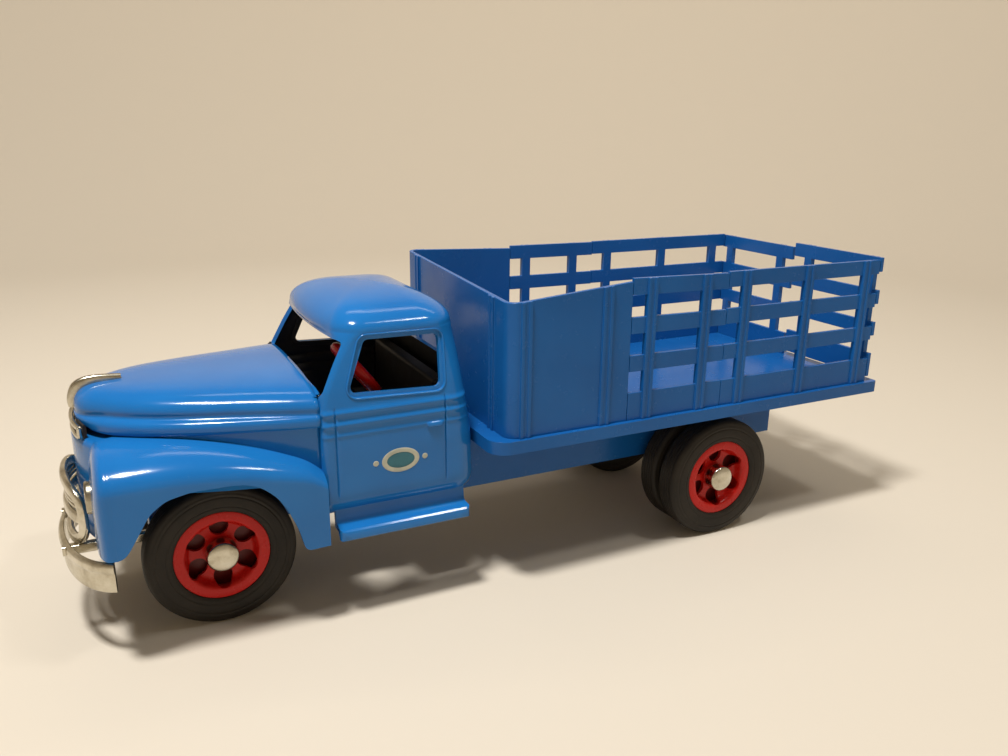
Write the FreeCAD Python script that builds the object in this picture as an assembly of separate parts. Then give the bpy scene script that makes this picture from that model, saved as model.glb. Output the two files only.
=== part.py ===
import FreeCAD, Part
import math
import os

os.makedirs("parts", exist_ok=True)
Vec = FreeCAD.Vector

# Frame: millimetres, front towards -X, up +Z, ground at z = 0, middle plane at y = 0

# Bed
bed_front_x = -19.75           # front of the bed, the start of all lengths along it
bed_half_width = 62.0          # outer faces of the side panels
panel_wall = 2.0
deck_top_z = 72.6
deck_plate = 2.4
deck_rim_height = 6.0
deck_rim_wall = 2.2
deck_overhang = 2.5            # deck edge outside the side panels
deck_front_overhang = 10.5     # deck edge ahead of the bed's front
deck_rear_overhang = 4.6       # deck edge behind the rear gates
deck_corner_radius = 9.0
headboard_ahead = 3.0          # headboard's front face ahead of the bed's front
board_corner_radius = 6.5
front_panel_length = 59.1
mid_gate_length = 54.9
rear_gate_length = 101.1
front_panel_height = 63.9
mid_gate_height = 65.2
rear_gate_height = 66.0
tail_gate_height = 64.8
tail_left_raise = 2.6          # the left half of the tail sits a little higher
gate_gap = 0.3                 # between neighbouring panels
tail_gap = 1.5                 # between the two halves of the tail

# Rails and stakes
rail_height = 7.5
bottom_board_height = 13.0
rail_count = 3
stake_width = 5.2
stake_proud = 1.0
stake_groove_width = 1.8
stake_groove_depth = 0.5
tenon_length = 4.6
tenon_width = 3.6
socket_clearance = 0.3
socket_wall = 1.6
rib_first = 5.2                # from the bed's front to the first side rib
rib_second = 46.0
headboard_rib_y = 45.0
mid_stake_inset = 10.4
mid_stake_end = 13.2
rear_stake_inset = 11.0
rear_stake_end = 9.6
tail_stake_inner = 10.5        # from the gap between the halves
tail_stake_outer = 6.5         # from the side of the bed

# Axles and wheels
wheelbase = 244.0
front_axle_ahead = 122.0       # axle ahead of the bed's front
tyre_radius = 31.0
tyre_width = 13.0
tyre_shoulder = 2.6
rim_radius = 20.3
rim_wall = 2.0
bead_depth = 1.2
bead_width = 1.0
axle_radius = 1.6
axle_clearance = 0.05
front_track_half = 36.0        # outer face of the front tyres
rear_track_half = 59.5         # outer face of the outer rear tyres
dual_gap = 3.0
hub_bore_radius = axle_radius + axle_clearance
hub_boss_radius = 4.6
hub_boss_height = 1.2
hub_boss_flare = 0.8
hub_face_inset = 1.2
dish_outer_radius = 14.4
dish_slope = 1.2
dish_depth = 4.4
dish_floor = 1.8
hole_count = 6
hole_radius = 2.8
hole_circle = 10.2
cap_radius = 7.0
cap_height = 3.4
cap_wall = 1.0
cap_lip = 1.6
cap_seat_gap = 0.3
side_gap = 0.4                 # hub to axle hanger
inner_disc_inset = 5.0         # disc of the inner rear wheel behind its tyre's outer face
inner_disc_wall = 2.0

# Chassis
rail_outer_y = 27.0
front_rail_outer_y = 20.0
rail_wall = 2.4
frame_bottom_z = 37.0
frame_top_z = deck_top_z - deck_plate
frame_rear = 183.0             # behind the bed's front
frame_setback = 16.4           # frame ends behind the ends of the grille
hanger_width = 14.0
hanger_drop = 5.0              # below the axle

# Cab and hood
cab_wall = 2.0
cab_floor_z = 47.7
seat_gap = 0.3
window_radius = 2.4

# Cab sections: height, front, back, half width, front and back corner radius, bow of the front
cab_sections = [
    (47.7, -80.0, -12.2, 49.0, 2.4, 9.0, 0.5),
    (60.0, -80.0, -12.4, 49.4, 2.4, 9.0, 0.5),
    (75.0, -80.0, -13.2, 49.2, 2.4, 9.0, 0.5),
    (85.0, -80.0, -15.0, 48.8, 2.4, 9.0, 0.5),
    (92.0, -80.0, -16.2, 48.2, 2.4, 9.0, 0.6),
    (100.3, -79.5, -17.8, 47.0, 3.0, 9.5, 2.0),
    (111.0, -74.5, -19.2, 44.8, 3.6, 10.0, 2.0),
    (120.4, -69.9, -20.6, 42.9, 4.6, 10.0, 2.0),
    (121.8, -70.6, -20.4, 43.4, 6.5, 11.0, 2.3),
    (123.4, -70.8, -20.4, 43.6, 9.0, 12.5, 2.6),
    (126.0, -69.2, -22.0, 42.0, 11.0, 13.5, 2.5),
    (128.6, -66.4, -25.2, 39.0, 12.0, 13.5, 2.2),
    (131.0, -62.0, -29.8, 34.0, 12.0, 13.0, 1.8),
    (133.0, -57.0, -35.0, 26.4, 9.0, 10.0, 1.2),
    (134.4, -52.0, -40.4, 17.0, 4.0, 5.0, 0.6),
    (134.8, -49.0, -43.4, 9.0, 2.0, 2.0, 0.2),
]
roof_start_z = 121.0           # above this the cab is the closed roof
cab_front = -80.0              # flat face of the cab, from the bed's front
smallest_hollow = 10.0         # the hollow ends where the roof gets narrower than this
sharp_corner = 3.0             # back corners tighter than this get the small inner radius
small_inner_radius = 0.6
least_inner_radius = 0.4

# Windows
screen_bottom_z = 100.8
screen_top_z = 120.2
screen_half_bottom = 44.0
screen_half_top = 40.4
screen_lean = 14.0             # the cut for the windshield ends this far behind the cab's flat face
rear_window_bottom_z = 104.0
rear_window_top_z = 118.5
rear_window_half = 22.0
# Side window corners: distance from the bed's front, height
side_window_corners = [(-69.5, 99.0), (-60.9, 120.0), (-28.2, 119.6), (-29.2, 97.4)]

# Hood sections: distance from the bed's front, half width, crown height
hood_sections = [
    (-80.8, 47.3, 101.6),
    (-92.0, 45.6, 101.7),
    (-105.0, 43.0, 101.7),
    (-120.0, 39.5, 101.7),
    (-134.0, 35.5, 101.6),
    (-147.0, 30.5, 101.3),
    (-156.5, 25.0, 100.5),
    (-163.0, 19.5, 99.3),
    (-167.8, 13.0, 97.5),
    (-170.3, 6.0, 95.2),
]
hood_bottom_z = 86.5
hood_wall = 2.0
hood_squareness = 4.0
hood_side_share = 0.15         # part of the hood's height that stands upright at its sides

# Fender sections: distance from the front axle, outer half width, top height
fender_sections = [
    (-46.5, 41.0, 75.0),
    (-44.5, 45.5, 79.5),
    (-39.0, 50.0, 83.2),
    (-28.0, 53.2, 85.2),
    (-13.0, 54.6, 85.8),
    (2.0, 54.8, 85.4),
    (17.0, 54.8, 83.8),
    (28.0, 54.6, 80.5),
    (35.5, 54.2, 76.0),
    (39.5, 53.6, 69.0),
]
# Wheel opening: distance from the axle, height above the axle
arch_corners = [
    (-54.0, 16.0), (-38.5, 16.0), (-35.7, 18.2), (-27.0, 33.0), (-21.0, 37.6), (-12.0, 39.7), (3.0, 39.7),
    (9.5, 38.8), (14.5, 36.5), (20.0, 31.4), (24.0, 24.6), (27.6, 16.0), (29.5, 8.7), (30.3, 5.0),
]
fender_wall = 2.0
fender_inner_y = 24.0
fender_rise_share = 0.62       # part of the height that is rounded
fender_bottom_z = 36.5
fender_squareness = 2.6
nose_half_width = 27.0
nose_front = 173.5
nose_depth = 14.0
nose_bottom_z = 44.0
nose_top_z = 82.0

# Running boards
board_front = -77.0
board_rear = -18.0
board_outer_y = 56.5
board_top_z = 42.0
board_thickness = 5.0
board_lip = 1.8
board_round = 1.5
board_plate = 2.0
riser_y = 50.0
riser_foot = 2.0
riser_lean = 1.0

# Front trim: each band follows half an ellipse in plan
bumper_half_width = 45.0
bumper_cut_y = 44.0            # the ends are cut off here
bumper_front = 182.5
bumper_depth = 22.0
bumper_height = 13.0
bumper_bottom_z = 28.5
bumper_wall = 2.2
bracket_width = 4.0
grille_half_width = 28.0
grille_cut_y = 26.0
grille_front = 180.0
grille_depth = 13.0
grille_top_z = 67.0
grille_wall = 2.6
grille_border = 3.4
grille_bar = 4.4
slat_height = 1.1
slat_count = 3
trim_half_width = 24.0
trim_cut_y = 20.0
trim_front = 172.4
trim_depth = 14.0
trim_wall = 1.6
lamp_radius = 6.5
lamp_y = 33.5
lamp_z = 66.0
lamp_front = 169.4
lamp_depth = 6.0
lamp_clearance = 0.3
ornament_front = 172.4
ornament_width = 3.0
ornament_top_z = 104.2
ornament_low_z = 92.5
# Ornament from the side: distance behind its front, drop below its top
ornament_outline = [(0.0, 9.6), (0.7, 5.2), (2.6, 2.2), (6.0, 0.5), (12.0, 0.0), (21.0, 0.9)]
trim_clearance = 0.1
frame_front = grille_front - grille_depth - grille_wall - frame_setback

# Interior
seat_width = 82.0
seat_depth = 22.0
seat_height = 26.0
seat_back_height = 50.0
seat_back_thickness = 7.0
seat_rear_gap = 8.0            # to the back wall of the cab
steering_radius = 12.6
steering_tube = 1.9
steering_tilt = 52.0
column_radius = 1.8
column_length = 40.0
steering_y = -22.0
steering_x = -58.0
steering_z = 101.2


# Helpers

def box(x0, x1, y0, y1, z0, z1):
    return Part.makeBox(x1 - x0, y1 - y0, z1 - z0, Vec(x0, y0, z0))


def bed_x(distance):
    """Frame x of a distance measured from the front of the bed."""
    return bed_front_x + distance


def polygon_wire(points):
    return Part.makePolygon(points + [points[0]])


def rounded_plate(x0, x1, y0, y1, z0, z1, front_radius, rear_radius):
    """Plate with two rounded front corners and two rounded rear corners."""
    plate = box(x0, x1, y0, y1, z0, z1)
    for radius, corner_x in ((front_radius, x0), (rear_radius, x1)):
        if radius <= 0:
            continue
        edges = [edge for edge in plate.Edges if upright_at(edge, corner_x)]
        plate = plate.makeFillet(radius, edges)
    return plate


def upright_at(edge, x):
    ends = [vertex.Point for vertex in edge.Vertexes]
    return len(ends) == 2 and all(abs(p.x - x) < 1e-6 for p in ends) and abs(ends[0].z - ends[1].z) > 1e-3


def plan_wire(z, front, back, half_width, front_radius, back_radius, bow):
    """Closed plan outline: four rounded corners, straight sides and a front edge bowed by bow."""
    points = []
    for side in (-1, 1):
        corner_y = side * (half_width - front_radius)
        lean = front_radius * (1 - math.sqrt(0.5))
        points.append([
            Vec(front, corner_y, z),
            Vec(front + lean, side * (half_width - lean), z),
            Vec(front + front_radius, side * half_width, z),
        ])
        corner_y = side * (half_width - back_radius)
        lean = back_radius * (1 - math.sqrt(0.5))
        points.append([
            Vec(back - back_radius, side * half_width, z),
            Vec(back - lean, side * (half_width - lean), z),
            Vec(back, corner_y, z),
        ])
    front_left, back_left, front_right, back_right = points
    return Part.Wire([
        Part.Arc(front_right[0], Vec(front - bow, 0, z), front_left[0]).toShape(),
        Part.Arc(*front_left).toShape(),
        Part.makeLine(front_left[2], back_left[0]),
        Part.Arc(*back_left).toShape(),
        Part.makeLine(back_left[2], back_right[2]),
        Part.Arc(*back_right[::-1]).toShape(),
        Part.makeLine(back_right[0], front_right[2]),
        Part.Arc(*front_right[::-1]).toShape(),
    ])


def arch_wire(x, half_width, crown_z, bottom_z, squareness):
    """Closed section across the hood: two upright sides, a rounded top and a flat bottom."""
    rise = crown_z - bottom_z
    side_z = bottom_z + rise * hood_side_share
    points = []
    for step in range(25):
        angle = math.pi * step / 24
        c = math.cos(angle)
        s = math.sin(angle)
        y = -half_width * math.copysign(abs(c) ** (2 / squareness), c)
        z = side_z + (crown_z - side_z) * abs(s) ** (2 / squareness)
        points.append(Vec(x, y, z))
    curve = Part.BSplineCurve()
    curve.interpolate(points)
    left = Vec(x, -half_width, bottom_z)
    right = Vec(x, half_width, bottom_z)
    edges = [
        Part.makeLine(left, points[0]),
        curve.toShape(),
        Part.makeLine(points[-1], right),
        Part.makeLine(right, left),
    ]
    return Part.Wire(edges)


def save(name, shape):
    solid = shape.removeSplitter()
    if not solid.isValid():
        print("not valid:", name)
    solid.exportStep("parts/" + name + ".step")
    lengths = solid.BoundBox
    print(name, len(solid.Solids), round(lengths.XMin, 1), round(lengths.XMax, 1), round(lengths.YMin, 1),
          round(lengths.YMax, 1), round(lengths.ZMin, 1), round(lengths.ZMax, 1))


# Bed pieces

def stake(x, y_face, outward, z0, z1):
    """Upright channel standing proud of a side panel's outer face at y_face."""
    y0 = y_face - panel_wall * outward
    y1 = y_face + stake_proud * outward
    body = box(x - stake_width / 2, x + stake_width / 2, min(y0, y1), max(y0, y1), z0, z1)
    g0 = y1 - stake_groove_depth * outward
    groove = box(x - stake_groove_width / 2, x + stake_groove_width / 2, min(g0, y1), max(g0, y1), z0, z1)
    return body.cut(groove)


def tenon_y(side):
    return side * (bed_half_width - panel_wall / 2)


def side_tenon(x, side, grow):
    """Foot of a side stake, or its socket when grown by the clearance."""
    y = tenon_y(side)
    z0 = deck_top_z - tenon_length - grow
    half = tenon_width / 2 + grow
    thick = panel_wall / 2 + grow
    return box(x - half, x + half, y - thick, y + thick, z0, deck_top_z)


def tail_tenon(y, grow):
    x = tail_x() - panel_wall / 2
    half = tenon_width / 2 + grow
    thick = panel_wall / 2 + grow
    z0 = deck_top_z - tenon_length - grow
    return box(x - thick, x + thick, y - half, y + half, z0, deck_top_z)


def gate_bars(x0, x1, y0, y1, z0, height):
    """Bottom board and three rails, evenly spaced up the gate."""
    gap = (height - bottom_board_height - rail_count * rail_height) / rail_count
    bars = [box(x0, x1, y0, y1, z0, z0 + bottom_board_height)]
    z = z0 + bottom_board_height + gap
    for _ in range(rail_count):
        bars.append(box(x0, x1, y0, y1, z, z + rail_height))
        z += rail_height + gap
    return bars


def side_stake_places(kind):
    if kind == "mid":
        start = bed_x(front_panel_length)
        end = start + mid_gate_length
        return [start + mid_stake_inset, end - mid_stake_end]
    start = bed_x(front_panel_length + mid_gate_length)
    end = start + rear_gate_length
    middle = (start + rear_stake_inset + end - rear_stake_end) / 2
    return [start + rear_stake_inset, middle, end - rear_stake_end]


def side_gate(kind, side):
    start = bed_x(front_panel_length)
    length = mid_gate_length
    height = mid_gate_height
    if kind == "rear":
        start += mid_gate_length
        length = rear_gate_length
        height = rear_gate_height
    x0 = start + gate_gap / 2
    x1 = start + length - gate_gap / 2
    face = side * bed_half_width
    inner = face - side * panel_wall
    bars = gate_bars(x0, x1, min(face, inner), max(face, inner), deck_top_z, height)
    body = bars[0]
    for bar in bars[1:]:
        body = body.fuse(bar)
    for x in side_stake_places(kind):
        body = body.fuse(stake(x, face, side, deck_top_z, deck_top_z + height))
        body = body.fuse(side_tenon(x, side, 0.0))
    return body


def tail_x():
    return bed_x(front_panel_length + mid_gate_length + rear_gate_length) + panel_wall + gate_gap


def tail_stake_places(side):
    inner = side * (tail_gap / 2 + tail_stake_inner)
    outer = side * (bed_half_width - tail_stake_outer)
    return [inner, outer]


def tail_gate(side):
    x1 = tail_x()
    x0 = x1 - panel_wall
    near = side * tail_gap / 2
    far = side * bed_half_width
    y0 = min(near, far)
    y1 = max(near, far)
    raise_z = tail_left_raise if side < 0 else 0.0
    z0 = deck_top_z + raise_z
    body = None
    for bar in gate_bars(x0, x1, y0, y1, z0, tail_gate_height):
        body = bar if body is None else body.fuse(bar)
    for y in tail_stake_places(side):
        post = box(x0, x1 + stake_proud, y - stake_width / 2, y + stake_width / 2, z0, z0 + tail_gate_height)
        groove = box(x1 + stake_proud - stake_groove_depth, x1 + stake_proud, y - stake_groove_width / 2,
                     y + stake_groove_width / 2, z0, z0 + tail_gate_height)
        body = body.fuse(post.cut(groove))
        foot = tail_tenon(y, 0.0)
        foot.translate(Vec(0, 0, raise_z))
        body = body.fuse(foot)
    return body


def headboard():
    """Front wall of the bed with its two solid side wings, rounded at the corners."""
    x0 = bed_x(-headboard_ahead)
    x1 = bed_x(front_panel_length) - gate_gap / 2
    z0 = deck_top_z
    z1 = deck_top_z + front_panel_height
    half = bed_half_width
    outer = rounded_plate(x0, x1, -half, half, z0, z1, board_corner_radius, 0)
    inner = rounded_plate(x0 + panel_wall, x1 + 1, -half + panel_wall, half - panel_wall, z0 - 1, z1 + 1,
                          board_corner_radius - panel_wall, 0)
    body = outer.cut(inner)
    for side in (-1, 1):
        for distance in (rib_first, rib_second):
            body = body.fuse(stake(bed_x(distance), side * half, side, z0, z1))
        y = side * headboard_rib_y
        rib = box(x0 - stake_proud, x0 + panel_wall, y - stake_width / 2, y + stake_width / 2, z0, z1)
        groove = box(x0 - stake_proud, x0 - stake_proud + stake_groove_depth, y - stake_groove_width / 2,
                     y + stake_groove_width / 2, z0, z1)
        body = body.fuse(rib.cut(groove))
    return body


def deck():
    half = bed_half_width + deck_overhang
    x0 = bed_x(-deck_front_overhang)
    x1 = tail_x() + deck_rear_overhang
    z1 = deck_top_z
    z0 = deck_top_z - deck_rim_height
    outer = rounded_plate(x0, x1, -half, half, z0, z1, deck_corner_radius, 2.0)
    wall = deck_rim_wall
    hollow = rounded_plate(x0 + wall, x1 - wall, -half + wall, half - wall, z0 - 1, z1 - deck_plate,
                           deck_corner_radius - wall, 0)
    body = outer.cut(hollow)
    sockets = []
    for side in (-1, 1):
        for kind in ("mid", "rear"):
            for x in side_stake_places(kind):
                sockets.append(side_tenon(x, side, socket_clearance))
        for y in tail_stake_places(side):
            sockets.append(tail_tenon(y, socket_clearance))
    for socket in sockets:
        limits = socket.BoundBox
        boss = box(limits.XMin - socket_wall, limits.XMax + socket_wall, limits.YMin - socket_wall,
                   limits.YMax + socket_wall, z0, z1 - deck_plate / 2)
        body = body.fuse(boss)
    for socket in sockets:
        body = body.cut(socket)
    return body


# Chassis

def axle_x(place):
    front = bed_x(-front_axle_ahead)
    return front if place == "front" else front + wheelbase


def hanger(place, side):
    """Plate under the frame rail that holds the axle."""
    x = axle_x(place)
    outer_y = front_rail_outer_y if place == "front" else rail_outer_y
    y0 = side * (outer_y - rail_wall)
    y1 = side * outer_y
    plate = box(x - hanger_width / 2, x + hanger_width / 2, min(y0, y1), max(y0, y1),
                tyre_radius - hanger_drop, frame_bottom_z)
    bore = Part.makeCylinder(axle_radius, 4 * outer_y, Vec(x, -2 * outer_y, tyre_radius), Vec(0, 1, 0))
    return plate.cut(bore)


def chassis():
    """Two rails closed above and at their ends: narrow and low ahead, wide and tall under the bed."""
    x_front = bed_x(-frame_front)
    x_narrow = cab_front_x() - seat_gap
    x_tall = bed_x(-deck_front_overhang) + deck_rim_wall + seat_gap
    x_rear = bed_x(frame_rear)
    low_top = cab_floor_z - seat_gap
    body = None
    runs = [
        (x_front, x_narrow + rail_wall, front_rail_outer_y, low_top),
        (x_narrow, x_tall + rail_wall, rail_outer_y, low_top),
        (x_tall, x_rear, rail_outer_y, frame_top_z),
    ]
    for x0, x1, reach, top in runs:
        outer = box(x0, x1, -reach, reach, frame_bottom_z, top)
        body = outer if body is None else body.fuse(outer)
    for x0, x1, reach, top in runs:
        inner = box(x0 + rail_wall, x1 - rail_wall, -reach + rail_wall, reach - rail_wall,
                    frame_bottom_z - 1, top - rail_wall)
        body = body.cut(inner)
    return body


# Wheels

def turned(profile, x):
    """Solid of revolution about the wheel axis; profile points are (radius, y)."""
    points = [Vec(x + radius, y, tyre_radius) for radius, y in profile]
    face = Part.Face(polygon_wire(points))
    return face.revolve(Vec(x, 0, tyre_radius), Vec(0, 1, 0), 360)


def tyre(x, y_out, side):
    """Smooth tyre with rounded shoulders; y_out is its outer face."""
    y_in = y_out - side * tyre_width
    steps = 4
    profile = [(rim_radius, y_out - side * bead_depth)]
    profile.append((rim_radius + bead_width, y_out))
    for step in range(steps + 1):
        angle = math.pi / 2 * step / steps
        radius = tyre_radius - tyre_shoulder * (1 - math.sin(angle))
        profile.append((radius, y_out - side * tyre_shoulder * (1 - math.cos(angle))))
    for step in range(steps + 1):
        angle = math.pi / 2 * (1 - step / steps)
        radius = tyre_radius - tyre_shoulder * (1 - math.sin(angle))
        profile.append((radius, y_in + side * tyre_shoulder * (1 - math.cos(angle))))
    profile.append((rim_radius + bead_width, y_in))
    profile.append((rim_radius, y_in + side * bead_depth))
    return turned(profile, x)


def hub(x, y_out, y_in, side):
    """Dished disc wheel with six round openings and a bored boss."""
    face = y_out - side * hub_face_inset
    floor = face - side * dish_depth
    back = floor - side * dish_floor
    profile = [
        (hub_bore_radius, floor + side * hub_boss_height),
        (hub_boss_radius, floor + side * hub_boss_height),
        (hub_boss_radius + hub_boss_flare, floor),
        (dish_outer_radius - dish_slope, floor),
        (dish_outer_radius, face),
        (rim_radius, face),
        (rim_radius, y_in + side * hub_face_inset),
        (rim_radius - rim_wall, y_in + side * hub_face_inset),
        (rim_radius - rim_wall, back),
        (hub_boss_radius, back),
        (hub_boss_radius, y_in),
        (hub_bore_radius, y_in),
    ]
    body = turned(profile, x)
    for step in range(hole_count):
        angle = 2 * math.pi * step / hole_count
        centre = Vec(x + hole_circle * math.cos(angle), floor + side * 1.0,
                     tyre_radius + hole_circle * math.sin(angle))
        body = body.cut(Part.makeCylinder(hole_radius, dish_floor + 2, centre, Vec(0, -side, 0)))
    return body


def hub_cap(x, y_out, side):
    """Domed cap seated on the hub's boss."""
    face = y_out - side * hub_face_inset
    seat = face - side * (dish_depth - hub_boss_height)
    tip = face + side * cap_height
    rise = abs(tip - seat)
    profile = [(0.0, seat + side * cap_wall)]
    profile.append((cap_radius - cap_wall - cap_lip, seat + side * cap_wall))
    profile.append((cap_radius - cap_wall - cap_lip, seat))
    profile.append((cap_radius, seat))
    for step in range(7):
        angle = math.pi / 2 * step / 6
        profile.append((cap_radius * math.cos(angle), seat + side * (rise * 0.35 + rise * 0.65 * math.sin(angle))))
    return turned(profile, x)


def front_wheel(side, name):
    x = axle_x("front")
    y_out = side * front_track_half
    save(name + "_tyre", tyre(x, y_out, side))
    save(name + "_hub", hub(x, y_out, side * (front_rail_outer_y + side_gap), side))
    save(name + "_cap", hub_cap(x, y_out, side))


def rear_wheels(side, name):
    x = axle_x("rear")
    y_out = side * rear_track_half
    y_next = y_out - side * (tyre_width + dual_gap)
    save(name + "_outer_tyre", tyre(x, y_out, side))
    save(name + "_inner_tyre", tyre(x, y_next, side))
    y_in = y_next - side * tyre_width
    outer = hub(x, y_out, y_out - side * (tyre_width + dual_gap), side)
    disc_out = y_next - side * inner_disc_inset
    disc_in = disc_out - side * inner_disc_wall
    boss_in = side * (rail_outer_y + side_gap)
    inner_profile = [
        (hub_bore_radius, y_next),
        (hub_boss_radius, y_next),
        (hub_boss_radius, disc_out),
        (rim_radius - rim_wall, disc_out),
        (rim_radius - rim_wall, y_next - side * hub_face_inset),
        (rim_radius, y_next - side * hub_face_inset),
        (rim_radius, y_in + side * hub_face_inset),
        (rim_radius - rim_wall, y_in + side * hub_face_inset),
        (rim_radius - rim_wall, disc_in),
        (hub_boss_radius, disc_in),
        (hub_boss_radius, boss_in),
        (hub_bore_radius, boss_in),
    ]
    save(name + "_hub", outer.fuse(turned(inner_profile, x)))
    save(name + "_cap", hub_cap(x, y_out, side))


def axle(place, track_half):
    """Plain rod through the hangers, ending inside the hub caps."""
    reach = track_half - hub_face_inset - dish_depth + hub_boss_height - cap_seat_gap
    return Part.makeCylinder(axle_radius, 2 * reach, Vec(axle_x(place), -reach, tyre_radius), Vec(0, 1, 0))


# Cab, hood and fenders

def cab_solid():
    wires = [plan_wire(z, bed_x(front), bed_x(back), half, radius, back_radius, bow)
             for z, front, back, half, radius, back_radius, bow in cab_sections]
    return Part.makeLoft(wires, True, True)


def cab_hollow():
    """Inside of the cab, open below, one wall smaller than the outside."""
    wires = []
    lowest = cab_sections[0][0]
    for z, front, back, half, radius, back_radius, bow in cab_sections:
        if roof_start_z < z < roof_start_z + cab_wall or half < smallest_hollow:
            continue
        height = z - cab_wall if z > roof_start_z else z
        if z == lowest:
            height = z - 1
        shrink = cab_wall
        wires.append(plan_wire(height, bed_x(front) + shrink, bed_x(back) - shrink, half - shrink,
                               max(radius - shrink, least_inner_radius),
                               back_radius - shrink if back_radius > sharp_corner else small_inner_radius, bow))
    return Part.makeLoft(wires, True, True)


def window_prism(points, radius, thickness_vector):
    face = Part.Face(polygon_wire(points))
    prism = face.extrude(thickness_vector)
    length = thickness_vector.Length
    edges = [edge for edge in prism.Edges
             if abs(edge.Length - length) < 1e-6 and abs(abs(edge.tangentAt(edge.FirstParameter).dot(
                 Vec(thickness_vector).normalize())) - 1) < 1e-6]
    return prism.makeFillet(radius, edges)


def hood_solid(inset):
    wires = []
    for distance, half, crown in hood_sections:
        if inset and half < 3 * inset:
            continue
        shift = inset if distance != hood_sections[0][0] else seat_gap
        wires.append(arch_wire(bed_x(distance) + shift, half - inset, crown - inset,
                               hood_bottom_z - (1 if inset else 0), hood_squareness))
    return Part.makeLoft(wires, True, False)


def running_board(side):
    """Riser below the door and the step plate with its turned-down lip."""
    top_z = cab_floor_z + board_plate
    points = [
        Vec(0, riser_y - riser_foot - riser_lean, top_z),
        Vec(0, riser_y - riser_lean, top_z),
        Vec(0, riser_y, board_top_z),
        Vec(0, board_outer_y - board_round, board_top_z),
        Vec(0, board_outer_y, board_top_z - board_round),
        Vec(0, board_outer_y, board_top_z - board_thickness),
        Vec(0, board_outer_y - board_lip, board_top_z - board_thickness),
        Vec(0, board_outer_y - board_lip, board_top_z - board_plate),
        Vec(0, riser_y - riser_foot, board_top_z - board_plate),
    ]
    placed = [Vec(bed_x(board_front), side * p.y, p.z) for p in points]
    return Part.Face(polygon_wire(placed)).extrude(Vec(board_rear - board_front, 0, 0))


def cab_front_x():
    return bed_x(cab_front)


def outline_cut(corners, depth_vector):
    """Window prism through corner points, with rounded corners."""
    return window_prism([Vec(*corner) for corner in corners], window_radius, depth_vector)


def cab_shell():
    body = cab_solid().cut(cab_hollow())
    lowest = cab_sections[0]
    middle_x = bed_x((lowest[1] + lowest[2]) / 2)
    ahead_x = cab_front_x() - lowest[3]
    body = body.cut(outline_cut([
        (ahead_x, -screen_half_bottom, screen_bottom_z),
        (ahead_x, -screen_half_top, screen_top_z),
        (ahead_x, screen_half_top, screen_top_z),
        (ahead_x, screen_half_bottom, screen_bottom_z),
    ], Vec(cab_front_x() + screen_lean - ahead_x, 0, 0)))
    body = body.cut(outline_cut([(bed_x(x), -bed_half_width, z) for x, z in side_window_corners],
                                Vec(0, 2 * bed_half_width, 0)))
    body = body.cut(outline_cut([
        (middle_x, -rear_window_half, rear_window_bottom_z),
        (middle_x, -rear_window_half, rear_window_top_z),
        (middle_x, rear_window_half, rear_window_top_z),
        (middle_x, rear_window_half, rear_window_bottom_z),
    ], Vec(bed_x(0) - middle_x, 0, 0)))
    for side in (-1, 1):
        body = body.fuse(running_board(side))
    return body


def hood():
    body = hood_solid(0).cut(hood_solid(hood_wall))
    cab = cab_solid()
    cab.translate(Vec(-seat_gap, 0, 0))
    return body.cut(cab)


def fender_wire(x, outer_y, inner_y, top_z, bottom_z, side):
    """Section across a fender: upright inner side, rounded top running to the upright outer side."""
    reach = outer_y - inner_y
    rise = (top_z - bottom_z) * fender_rise_share
    points = []
    for step in range(13):
        angle = math.pi / 2 * step / 12
        y = inner_y + reach * math.sin(angle) ** (2 / fender_squareness)
        z = top_z - rise + rise * math.cos(angle) ** (2 / fender_squareness)
        points.append(Vec(x, side * y, z))
    curve = Part.BSplineCurve()
    curve.interpolate(points)
    low_in = Vec(x, side * inner_y, bottom_z)
    low_out = Vec(x, side * outer_y, bottom_z)
    return Part.Wire([
        Part.makeLine(low_in, points[0]),
        curve.toShape(),
        Part.makeLine(points[-1], low_out),
        Part.makeLine(low_out, low_in),
    ])


def fender(side):
    outer = []
    inner = []
    count = len(fender_sections)
    for index, (distance, half, top) in enumerate(fender_sections):
        x = axle_x("front") + distance
        outer.append(fender_wire(x, half, fender_inner_y, top, fender_bottom_z, side))
        shift = fender_wall if index < count / 2 else -fender_wall
        inner.append(fender_wire(x + shift, half - fender_wall, fender_inner_y - fender_wall - 1,
                                 top - fender_wall, fender_bottom_z - fender_wall - 1, side))
    body = Part.makeLoft(outer, True, False)
    body = body.cut(Part.makeLoft(inner, True, False))
    corners = [arch_corners[0]] + arch_corners + [arch_corners[-1]]
    low = fender_bottom_z - tyre_radius - 1
    corners[0] = (corners[0][0], low)
    corners[-1] = (corners[-1][0], low)
    points = [Vec(axle_x("front") + x, 0, tyre_radius + z) for x, z in corners]
    arch = Part.Face(polygon_wire(points))
    return body.cut(arch.extrude(Vec(0, side * 2 * bed_half_width, 0)))


def nose_panel():
    """Curved front panel between the fenders."""
    x0 = bed_x(-nose_front)
    left = Vec(x0 + nose_depth, -nose_half_width, nose_bottom_z)
    right = Vec(x0 + nose_depth, nose_half_width, nose_bottom_z)
    front = Part.Arc(left, Vec(x0, 0, nose_bottom_z), right).toShape()
    back_left = left + Vec(fender_wall, 0, 0)
    back_right = right + Vec(fender_wall, 0, 0)
    back = Part.Arc(back_left, Vec(x0 + fender_wall, 0, nose_bottom_z), back_right).toShape()
    wire = Part.Wire(Part.__sortEdges__([
        front, back, Part.makeLine(left, back_left), Part.makeLine(right, back_right)]))
    return Part.Face(wire).extrude(Vec(0, 0, nose_top_z - nose_bottom_z))


def front_end():
    body = nose_panel()
    for side in (-1, 1):
        body = body.fuse(fender(side))
        body = body.cut(lamp_plug(side, lamp_clearance))
    return body


# Front trim

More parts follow.
